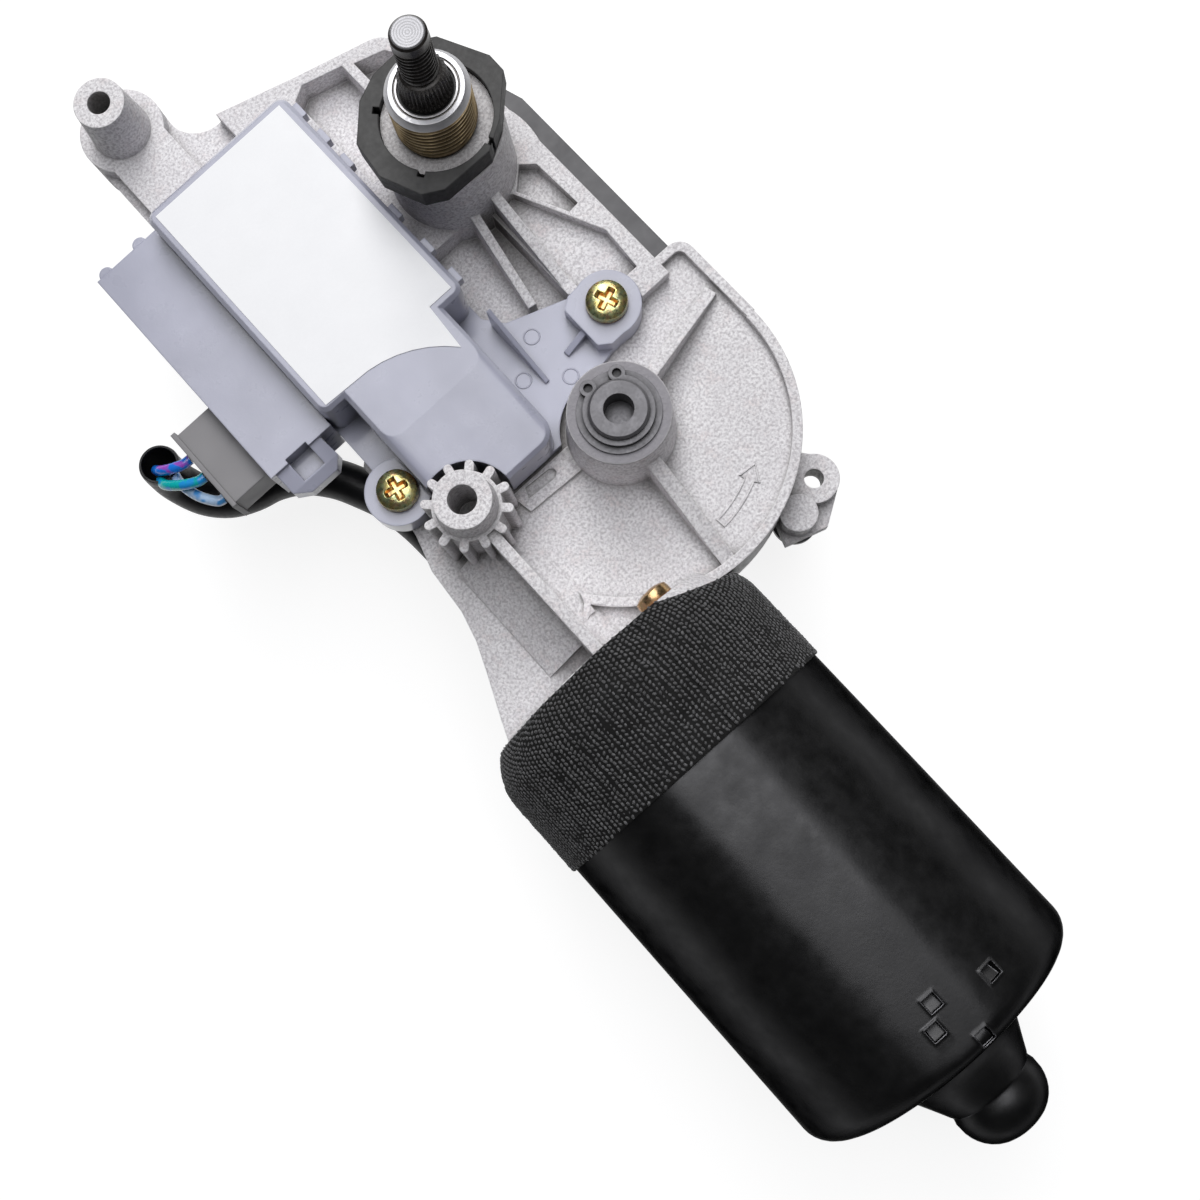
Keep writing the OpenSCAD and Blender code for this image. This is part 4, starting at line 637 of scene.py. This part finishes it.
class WIPER_OT_studio(bpy.types.Operator):
    """Sets the camera, the bright floor, the even sky and the two soft lamps"""
    bl_idname = "wiper.studio"
    bl_label = "Studio"

    def execute(self, context):
        settings = context.scene.wiper_studio
        scene = context.scene
        scene.view_settings.view_transform = "Standard"
        self.camera(scene)
        self.floor(scene, settings.floor)
        self.world(scene, settings.sky)
        self.lamps(scene)
        return {"FINISHED"}

    def camera(self, scene):
        # Worked out from the photograph: where the camera stood, its turn and its framing
        data = bpy.data.cameras.new("camera")
        data.sensor_width = 36
        data.lens = 43.5
        data.shift_x = 0.09347
        data.shift_y = -0.008918
        data.clip_start = 0.01
        data.clip_end = 10
        camera = bpy.data.objects.new("camera", data)
        camera.location = (-0.044937, -0.102219, 0.2210)
        camera.rotation_euler = [math.radians(a) for a in (7.4925, 6.714, -41.6354)]
        scene.collection.objects.link(camera)
        scene.camera = camera

    def floor(self, scene, colour):
        half, level = 1.2, CAD_LOW.z - 0.2 * MM
        mesh = bpy.data.meshes.new("floor")
        corners = [(x * half, y * half, level) for x, y in ((-1, -1), (1, -1), (1, 1), (-1, 1))]
        mesh.from_pydata(corners, [], [(0, 1, 2, 3)])
        floor = bpy.data.objects.new("floor", mesh)
        scene.collection.objects.link(floor)
        ground = Finish("floor", colour, 0.9, Emission_Color=(1, 1, 1, 1))
        rays = ground.add("ShaderNodeLightPath").outputs
        seen = rays["Is Camera Ray"]
        for ray in ("Is Glossy Ray", "Is Transmission Ray"):
            seen = ground.calc("MAXIMUM", seen, rays[ray])
        ground.feed(ground.shader.inputs["Emission Strength"], ground.calc("MULTIPLY", seen, 0.86))
        mesh.materials.append(ground.material)

    def world(self, scene, strength):
        world = bpy.data.worlds.new("sky")
        world.use_nodes = True
        background = world.node_tree.nodes["Background"]
        background.inputs["Color"].default_value = (0.97, 0.98, 1.0, 1)
        background.inputs["Strength"].default_value = strength
        scene.world = world

    def lamps(self, scene):
        middle = Vector((-0.03, -0.07, -0.02))
        for name, place, size, power, colour in (
                ("window", (0.36, 0.52, 0.6), 0.45, 3.8, (1.0, 0.99, 0.98)),
                ("top", (0.1, 0.12, 0.9), 0.7, 5.6, (0.98, 0.98, 1.0))):
            data = bpy.data.lights.new(name, "AREA")
            data.shape = "SQUARE"
            data.size = size
            data.energy = power
            data.color = colour
            lamp = bpy.data.objects.new(name, data)
            lamp.location = place
            lamp.rotation_euler = (Vector(place) - middle).to_track_quat("Z", "Y").to_euler()
            scene.collection.objects.link(lamp)


class WIPER_OT_finishes(bpy.types.Operator):
    """Gives every carried CAD node its finish"""
    bl_idname = "wiper.finishes"
    bl_label = "Finishes"

    def execute(self, context):
        slots = slots_by_node()
        for name, node in frame["nodes"].items():
            if name not in slots:
                raise RuntimeError(f"{name} has no material slot")
            finish = finish_of(slots[name])
            if not node.material_slots:
                node.data.materials.append(finish)
            for slot in node.material_slots:
                slot.material = finish
        return {"FINISHED"}


class WIPER_OT_sleeve(bpy.types.Operator):
    """Makes the spindle's sleeve with its fine thread"""
    bl_idname = "wiper.sleeve"
    bl_label = "Threaded sleeve"

    def execute(self, context):
        pitch = context.scene.wiper_threads.sleeve_pitch
        low, high = SLEEVE_LOW.z, SLEEVE_HIGH.z
        rows = [*plain_rows(high, (4.6, -0.4), (5.3, -0.42)), *plain_rows(low, (5.3, 0), (6.4, 0)),
                *plain_rows(0, (6.4, 0), (6.55, 0), (6.55, 1.4)),
                *thread_rows(1.6 * MM, high - 1.05 * MM, 6.9 * MM, 0.6 * MM, pitch),
                *plain_rows(high, (6.75, -0.85), (6.3, -0.2), (6.1, 0), (5.35, 0), (5.3, -0.3), (5.1, -0.3),
                            (5.05, 0), (4.7, 0))]
        vertices, rings = lathe(rows, 96, thread_wave(pitch))
        faces = skin_rings([*rings, rings[0]])
        new_piece("threaded_sleeve_fine", "gearbox", "sleeve_metal", vertices, faces, ["threaded_sleeve"], 25)
        return {"FINISHED"}


class WIPER_OT_spindle(bpy.types.Operator):
    """Makes the spindle with its splined cone and end thread"""
    bl_idname = "wiper.spindle"
    bl_label = "Spindle"

    def execute(self, context):
        settings = context.scene.wiper_threads
        teeth, pitch = settings.splines, settings.arm_pitch
        low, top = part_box("spindle")[0].z, SPINDLE_TOP
        base, shaft, tooth = SLEEVE_HIGH.z + 0.4 * MM, 4.25 * MM, 0.42 * MM
        thread_low, radius = base + 5 * MM, 3 * MM
        arm_thread = thread_wave(pitch)

        def wave(height, angle):
            if height < thread_low:
                return 1 - abs(2 * ((angle * teeth / TURN) % 1.0) - 1)
            return arm_thread(height, angle)

        rows = plain_rows(low, (0, 0), (3.2, 0), (3.2, 3), (4.25, 3)) + plain_rows(base, (4.25, -0.2))
        for share in (0, 0.25, 0.5, 0.75, 0.92):
            rows.append((shaft - tooth * (share + 1), base + (0.2 + 4.6 * share) * MM, tooth))
        rows += [*plain_rows(thread_low, (3.35, 0), (2.75, 0.2), (2.72, 0.9)),
                 *thread_rows(thread_low + 1.0 * MM, top - 2.2 * MM, radius, 0.45 * MM, pitch, 0.5),
                 *plain_rows(top, (2.92, -2), (2.92, -0.5), (2.55, -0.12), (2.4, 0), (1.2, -0.02), (0, -0.06))]
        vertices, rings = lathe(rows, teeth * 6, wave)
        faces = skin_rings(rings)
        new_piece("spindle_fine", "spindle_unit", "spindle_steel", vertices, faces, ["spindle"], 30)
        return {"FINISHED"}


def screw_head(radius, height, shank, length, recess):
    """Pan-head screw with a cross recess, its seat at height 0 and its shank below."""
    columns, steps = 96, 16

    def top(x, y):
        r = math.hypot(x, y) / radius
        dome = height * (1 - 0.32 * r ** 2.6)
        arms = max(recess * 0.3 - min(abs(x), abs(y)), 0) / (recess * 0.3)
        inside = max(0.0, min(1.0, (recess - math.hypot(x, y)) / (0.25 * recess)))
        core = max(0.0, min(1.0, (recess * 0.45 - math.hypot(x, y)) / (0.2 * recess)))
        return dome - height * 0.36 * max(min(1.0, arms * 2.2) * inside, core * 0.9)

    vertices = [(0, 0, top(0, 0))]
    for k in range(1, steps + 1):
        r = radius * 0.97 * k / steps
        for a in turn_steps(columns):
            x, y = r * math.cos(a), r * math.sin(a)
            vertices.append((x, y, top(x, y)))
    for r, z in ((radius, height * 0.45), (radius, height * 0.08), (radius * 0.97, 0), (shank, 0), (shank, -length)):
        vertices += [(r * math.cos(a), r * math.sin(a), z) for a in turn_steps(columns)]
    count = len(vertices)
    rings = [[0], *(range(first, first + columns) for first in range(1, count, columns)), [count]]
    vertices.append((0, 0, -length))
    faces = skin_rings(rings[::-1])
    mesh = bpy.data.meshes.new("screw_template")
    mesh.from_pydata(vertices, [], faces)
    mesh.update()
    return mesh


class WIPER_OT_screws(bpy.types.Operator):
    """Sets the case's, the cover's and the motor's screws"""
    bl_idname = "wiper.screws"
    bl_label = "Screws"

    def execute(self, context):
        case_seat, motor_seat = -16.45 * MM, -80.95 * MM
        cover_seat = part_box("cover_screws")[0].z + 2 * MM
        motor_length = (motor_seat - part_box("motor_screws")[0].y) / MM
        cover_spots = [(17, -39.6), (-13.8, -20), (8, 22), (-8, 22), (3.6, -84.4), (-31.6, -33)]
        # Head radius and height, shank radius and length, recess radius; then each one's place and directions
        for node, sizes, places in (
                ("case_screws", (3.6, 2.6, 2.0, 7.4, 2.2),
                 [((x * MM, -37.4 * MM, case_seat), (0, 0, 1), (1, turn, 0))
                  for x, turn in ((2.4, 0.35), (-45.1, -0.2))]),
                ("cover_screws", (2.8, 2.0, 1.5, 4, 1.7),
                 [((x * MM, y * MM, cover_seat), (0, 0, -1), (math.cos(x), math.sin(x), 0)) for x, y in cover_spots]),
                ("motor_screws", (3.1, 2.5, 2.0, motor_length, 1.8),
                 [((WORM_X + x * MM, motor_seat, WORM_Z + z * MM), (0, 1, 0), (1, 0, 0.4))
                  for x, z in ((12.6, 14.6), (-12.6, -14.6))])):
            head = screw_head(*(size * MM for size in sizes))
            copies(node + "_fine", "gearbox", "zinc_screw", head, places, [node])
        return {"FINISHED"}


def about_motor(radius, angle, along):
    """A point round the motor's axis: angle 0 is right, 90 degrees is up, along is the distance towards the can."""
    return Vector((WORM_X + radius * math.cos(angle), -along, WORM_Z + radius * math.sin(angle)))


class WIPER_OT_tape(bpy.types.Operator):
    """Winds the knitted tape over the joint of casting and can"""
    bl_idname = "wiper.tape"
    bl_label = "Insulation tape"

    # Where the tape begins and ends along the motor's axis, and the radius of the wheel chamber's wall
    front, back, chamber = 81.2 * MM, 104 * MM, 30.3 * MM
    # Distance along the axis and radius of the bell's shoulder, then of the can, in millimetres
    shoulder = [(81, 22.75), (82, 23.9), (83.3, 25), (85, 26), (86.8, 26.75), (88.5, 27.04), (120, 27.06)]
    # The degrees between which the end lies over the start, and how far it stands out there
    overlap, second_layer = (18, 74), 0.3 * MM

    def radius(self, along):
        """Radius of the tape's inner face: over the bell's shoulder, then level on the can."""
        s = along / MM
        for (s0, r0), (s1, r1) in zip(self.shoulder, self.shoulder[1:]):
            if s <= s1:
                return (r0 + (r1 - r0) * max(0.0, (s - s0) / (s1 - s0))) * MM
        return self.shoulder[-1][1] * MM

    def start(self, angle):
        """Where the tape's front edge lies at an angle: at the bell's front, or at the wheel chamber's wall."""
        inside = self.chamber ** 2 - (WORM_X + CAN_RADIUS * math.cos(angle) - WHEEL_X) ** 2
        wall = math.sqrt(inside) - WHEEL_Y + 0.5 * MM if inside > 0 else 0
        ripple = 0.12 * MM * math.sin(3 * angle + 0.6) + 0.06 * MM * math.sin(11 * angle)
        return max(self.front + ripple, wall)

    def lift(self, angle):
        """How far the tape stands out at an angle, where its end overlaps its start."""
        low, high = self.overlap
        return self.second_layer if low < math.degrees(angle) % 360 < high else 0.0

    def execute(self, context):
        settings = context.scene.wiper_tape
        thick = settings.thickness
        columns, rows = 360, 26
        vertices = []
        for side in (0, 1):
            for angle in turn_steps(columns):
                begin = self.start(angle)
                lift = self.lift(angle)
                for k in range(rows + 1):
                    along = begin + (self.back - begin) * k / rows
                    wobble = 0.06 * MM * noise.noise(Vector((angle * 6, along * 300, 1.5)))
                    edge = 0.12 * MM if side and k in (0, rows) else 0
                    r = self.radius(along) + 0.03 * MM + side * (thick + wobble - edge + lift)
                    vertices.append(about_motor(r, angle, along))
        step, half = rows + 1, columns * (rows + 1)
        inner, outer = ([range(side * half + k, (side + 1) * half, step) for k in range(step)] for side in (0, 1))
        faces = skin_rings([*inner, *outer[::-1], inner[0]])
        tape = new_piece("wound_tape", "gearbox", "tape", vertices, faces, ["insulation_tape"], 60)
        tape.data.materials[0] = rubber("tape_ground", (0.004, 0.004, 0.004), 0.85)
        stitches = self.stitches(settings.stitch, thick)
        return {"FINISHED"}

    def stitches(self, pitch, thick):
        """The knit: two leaning loops to a stitch, in columns along the motor's axis."""
        pill = bpy.data.meshes.new("stitch_template")
        shape = bmesh.new()
        bmesh.ops.create_icosphere(shape, subdivisions=1, radius=1.0)
        bmesh.ops.scale(shape, vec=(0.47 * MM, 0.3 * MM, 0.26 * MM), verts=shape.verts)
        shape.to_mesh(pill)
        shape.free()
        rise = 0.86 * pitch
        places = []
        for i, angle in enumerate(turn_steps(round(TURN * (CAN_RADIUS + 0.3 * MM) / pitch))):
            outward = Vector((math.cos(angle), 0, math.sin(angle)))
            round_it = Vector((-math.sin(angle), 0, math.cos(angle)))
            begin = self.start(angle) + 0.3 * MM
            for k in range(int((self.back + 0.3 * MM - begin) / rise)):
                along = begin + rise * (k + 0.5 * (i % 2))
                if along > self.back - 0.1 * MM:
                    continue
                lean = 0.4 if i % 2 else -0.4
                jitter = noise.noise(Vector((i * 0.37, k * 0.73, 4.0)))
                other = noise.noise(Vector((i * 0.83, k * 0.41, 9.0)))
                r = self.radius(along) + thick + self.lift(angle) - 0.07 * MM + 0.13 * MM * jitter
                spot = about_motor(r, angle + 0.011 * other, along + 0.22 * MM * other)
                direction = (Vector((0, -1, 0)) + (lean + 1.6 * other) * round_it).normalized()
                places.append((spot, outward, direction))
        return copies("tape_stitches", "gearbox", "tape", pill, places, smooth_below=180)


class WIPER_OT_leads(bpy.types.Operator):
    """Runs the lead wires from the plug into the sleeve's mouth"""
    bl_idname = "wiper.leads"
    bl_label = "Leads and sleeve"

    # The routes of the source, in millimetres
    sleeve = [(-73.4, -2.6, -22.5), (-73.8, -2.9, -26), (-73.7, -4.8, -29.8), (-72, -8.8, -32.6), (-69, -12, -34),
              (-65, -14, -34.6), (-60.5, -15.3, -34.8), (-56, -18, -35), (-52, -22.6, -35.5), (-49.4, -27.5, -36.6),
              (-47.6, -32, -37.6), (-46.4, -38, -38.4), (-46, -45, -38.8), (-46, -53, -38.8), (-46, -61.5, -38.8),
              (-45.2, -68, -39.8), (-43.6, -73.6, -41.2), (-43.4, -76, -41.3)]
    wires = {"upper": [(-68.4, -6.7, -20.5), (-70, -6.5, -20.5), (-72.2, -5.4, -20.9), (-74, -3.8, -22.2),
                       (-74.6, -2.6, -24)],
             "middle": [(-68.4, -11.3, -19.5), (-70, -11, -19.5), (-72.6, -9.2, -20.1), (-74.8, -6.6, -21.9),
                        (-75.1, -4.6, -24)],
             "lower": [(-68.4, -15.9, -21.5), (-69.8, -15.3, -21.5), (-71.7, -12.2, -21.9), (-72.7, -8.2, -22.5),
                       (-72.6, -5.2, -24)]}
    slots = {"upper": "wire_blue", "middle": "wire_teal", "lower": "wire_pale"}

    def execute(self, context):
        sizes = context.scene.wiper_leads
        for name, points in self.wires.items():
            route = stations(smooth_route([MM * Vector(point) for point in points], 8))
            vertices, faces = tube([(station, sizes.wire / 2) for station in route], 20)
            new_piece(f"lead_{name}", "gearbox", self.slots[name], vertices, faces, [f"lead_wire_{name}"], 60)
        self.run_sleeve(sizes.sleeve)
        return {"FINISHED"}

    def run_sleeve(self, diameter):
        route = stations(smooth_route([MM * Vector(point) for point in self.sleeve], 6))
        outer, wall = diameter / 2, 0.55 * MM
        inside = [(station, outer - wall) for station in route[9::-1]]
        lip = [(route[0], outer - 0.3 * wall), (route[1], outer)]
        vertices, faces = tube(inside + lip + [(station, outer) for station in route[2:]], 40)
        new_piece("lead_sleeve", "gearbox", "sleeve_rubber", vertices, faces, ["harness_sleeve"], 60)


class WIPER_OT_can(bpy.types.Operator):
    """Makes the drawn can with its soft flats, cone, boss and pressed tabs"""
    bl_idname = "wiper.can"
    bl_label = "Motor can"

    # All in millimetres. Pressed tabs: right of the axis, along it, and the height that their far end stands at
    tabs = [(1.2, 152, 0.5), (-1.3, 155.3, 0.5), (10.7, 154.6, 0.4), (3.6, 160.4, 0.3)]
    # Half of a tab's side, and where the mesh has rows and columns round its middle
    half = 1.15
    steps = (-1.75, -1.5, -1.3, -1.15, -1.05, 0, 1.05, 1.15, 1.3, 1.5, 1.75)
    # The round, the flats' distance from the axis and how sharply they blend; the wall; radius of the plain end
    radius, flat, bend = CAN_RADIUS / MM, 26.35, 5.5
    wall, plain = 1.6, 22.9

    def profile(self):
        """Rows of (distance along the axis, radius) of the outside, then the inside from the tip back."""
        corner = [(158.5 + 4 * math.sin(a), 23 + 4 * math.cos(a)) for a in (i * math.pi / 16 for i in range(9))]
        cap = [(175 + 6 * math.sin(a), 2.2 + 6 * math.cos(a)) for a in (i * math.pi / 20 for i in range(11))]
        rows = [90.05, 92, 96, *range(100, 149, 4), 150]
        for tab in self.tabs:
            rows += [tab[1] + step for step in self.steps]
        rows = sorted({round(row, 3) for row in rows if row < 158.4})
        outside = [(row, self.radius) for row in rows] + corner[:1]
        fine = [corner[0]]
        for low, high in zip(corner, corner[1:]):
            fine += [tuple(a + (b - a) * k / 3 for a, b in zip(low, high)) for k in (1, 2, 3)]
        outside += fine[1:] + [(162.5, 19.5), (162.55, 17.4), (163.1, 15.6), (165, 12.9), (167.5, 10.9), (169.9, 9.6),
                               (171.5, 8.75), (172.3, 8.35), (172.9, 7.95), (173.4, 7.95), (174.2, 8.2)] + cap[1:-1]
        inside = [(179.4, 4.6), (176.4, 6.6), (170.9, 6.6), (160.9, 14.2), (160.9, 23.0), (158.5, 25.4),
                  (90.05, 25.4)]
        return outside, inside

    def columns(self):
        """Angles round the axis, closer together at the tabs."""
        angles = {round(angle, 5) for angle in turn_steps(200)}
        for tab in self.tabs:
            angles |= {round(math.acos((tab[0] + step) / self.radius), 5) for step in self.steps}
        return sorted(angles)

    def pressed(self, x, along):
        """How far the skin stands in or out at a pressed tab."""
        for right, far, tongue in self.tabs:
            across, ahead = x - right, along - far
            edge = max(abs(across), abs(ahead)) - self.half
            if edge < -0.05:
                return -0.95 + tongue * (ahead / self.half)
            if edge < 0.4:
                return min(0.22, 0.22 + edge * 2 if edge < 0 else 0.22 * (1 - edge / 0.4))
        return 0.0

    def skin(self, along, radius, angle, outside):
        """Distance from the axis: the flats blend softly into the round."""
        flat = self.flat - (0 if outside else self.wall)
        limit = flat / max(0.2, abs(math.sin(angle)))
        gap = (limit - radius) * self.bend
        blended = radius - math.log1p(math.exp(-gap)) / self.bend if gap > -30 else limit
        ripple = 0.05 * noise.noise(Vector((math.cos(angle) * 2.2, math.sin(angle) * 2.2, along * 0.05)))
        if outside and math.sin(angle) > 0 and 140 < along < 162.3:
            return blended + ripple + self.pressed(radius * math.cos(angle), along)
        return blended + ripple

    def execute(self, context):
        outside, inside = self.profile()
        angles = self.columns()
        vertices = []
        for k, (along, radius) in enumerate(outside + inside):
            for angle in angles:
                here = self.skin(along, radius, angle, k < len(outside)) if radius > self.plain else radius
                vertices.append(about_motor(here * MM, angle, along * MM))
        count, end = len(angles), len(vertices)
        rings = [range(first, first + count) for first in range(0, end, count)]
        outer, inner = rings[:len(outside)], rings[len(outside):]
        vertices += [about_motor(0, 0, 181.0 * MM), about_motor(0, 0, 179.4 * MM)]
        faces = skin_rings([*outer, [end]]) + skin_rings([[end + 1], *inner, outer[0]])
        new_piece("drawn_can", "gearbox", "can_paint", vertices, faces, ["motor_can"], 28)
        return {"FINISHED"}


class WIPER_OT_marks(bpy.types.Operator):
    """Raises the casting's plain arrow and the moulding's round marks"""
    bl_idname = "wiper.marks"
    bl_label = "Mould marks"

    def execute(self, context):
        self.arrow()
        self.bead()
        self.rounds()
        return {"FINISHED"}

    def merge(self, name, slot, parts):
        vertices, faces = [], []
        for part, sides in parts:
            faces += [tuple(corner + len(vertices) for corner in side) for side in sides]
            vertices += part
        return new_piece(name, "gearbox", slot, vertices, faces)

    def arrow(self):
        centre, level = Vector((WHEEL_X, WHEEL_Y)), -22 * MM

        def at(radius, degrees):
            angle = math.radians(degrees)
            return centre + Vector((math.cos(angle), math.sin(angle))) * radius * MM

        outline = [at(23.9, d) for d in range(-86, -64, 3)] + [at(23.9, -64), at(24.9, -64), at(23.2, -57)]
        outline += [at(21.3, -64), at(22.3, -64)] + [at(22.3, d) for d in range(-65, -87, -3)]
        line = ridge(outline, 0.5 * MM, level - 0.05 * MM, level + 0.2 * MM, True)
        self.merge("cast_arrow", "cast_aluminium", [line])

    def bead(self):
        """The low bead that runs from the web to the chamber's rim, in front of the bell."""
        corners = [(-37.6, -74.3, 0), (-35.6, -73.9, 0), (-34.1, -72.6, 0), (-33, -73, 0), (-31.6, -74.5, 0)]
        path = [MM * point.to_2d() for point in smooth_route(corners, 4)]
        self.merge("rim_bead", "cast_aluminium", [ridge(path, 1.9 * MM, -22.05 * MM, -20.3 * MM)])

    def rounds(self):
        level, parts = -20 * MM, []
        for x, y in ((-10.2, -31.9), (-10, -41.7), (-16.4, -36.7)):
            ring = [Vector((x + 1.35 * math.cos(a), y + 1.35 * math.sin(a))) * MM for a in turn_steps(32)]
            parts.append(ridge(ring, 0.35 * MM, level - 0.05 * MM, level + 0.12 * MM, True))
        self.merge("pin_marks", "case_plastic", parts)


class WIPER_PT_panel(bpy.types.Panel):
    """Lists the steps that dress the wiper motor"""
    bl_idname = "WIPER_PT_panel"
    bl_label = "Wiper motor"
    bl_space_type = "VIEW_3D"
    bl_region_type = "UI"
    bl_category = "Wiper motor"

    def draw(self, context):
        for group in GROUPS:
            settings = getattr(context.scene, group)
            for name in settings.bl_rna.properties.keys():
                if name not in ("rna_type", "name"):
                    self.layout.prop(settings, name)
        for step in STEPS:
            self.layout.operator(step.bl_idname)


GROUPS = {"wiper_leads": LeadSizes, "wiper_threads": ThreadSizes, "wiper_tape": TapeSizes,
          "wiper_studio": StudioSettings}
STEPS = (WIPER_OT_studio, WIPER_OT_leads, WIPER_OT_finishes, WIPER_OT_sleeve, WIPER_OT_spindle, WIPER_OT_screws,
         WIPER_OT_can, WIPER_OT_tape, WIPER_OT_marks)


def register():
    for kind in (*GROUPS.values(), *STEPS, WIPER_PT_panel):
        bpy.utils.register_class(kind)
    for name, kind in GROUPS.items():
        setattr(bpy.types.Scene, name, bpy.props.PointerProperty(type=kind))


def unregister():
    for name in GROUPS:
        delattr(bpy.types.Scene, name)
    for kind in reversed((*GROUPS.values(), *STEPS, WIPER_PT_panel)):
        bpy.utils.unregister_class(kind)


def main():
    register()
    for step in STEPS:
        family, name = step.bl_idname.split(".")
        getattr(getattr(bpy.ops, family), name)()


if __name__ == "__main__":
    main()
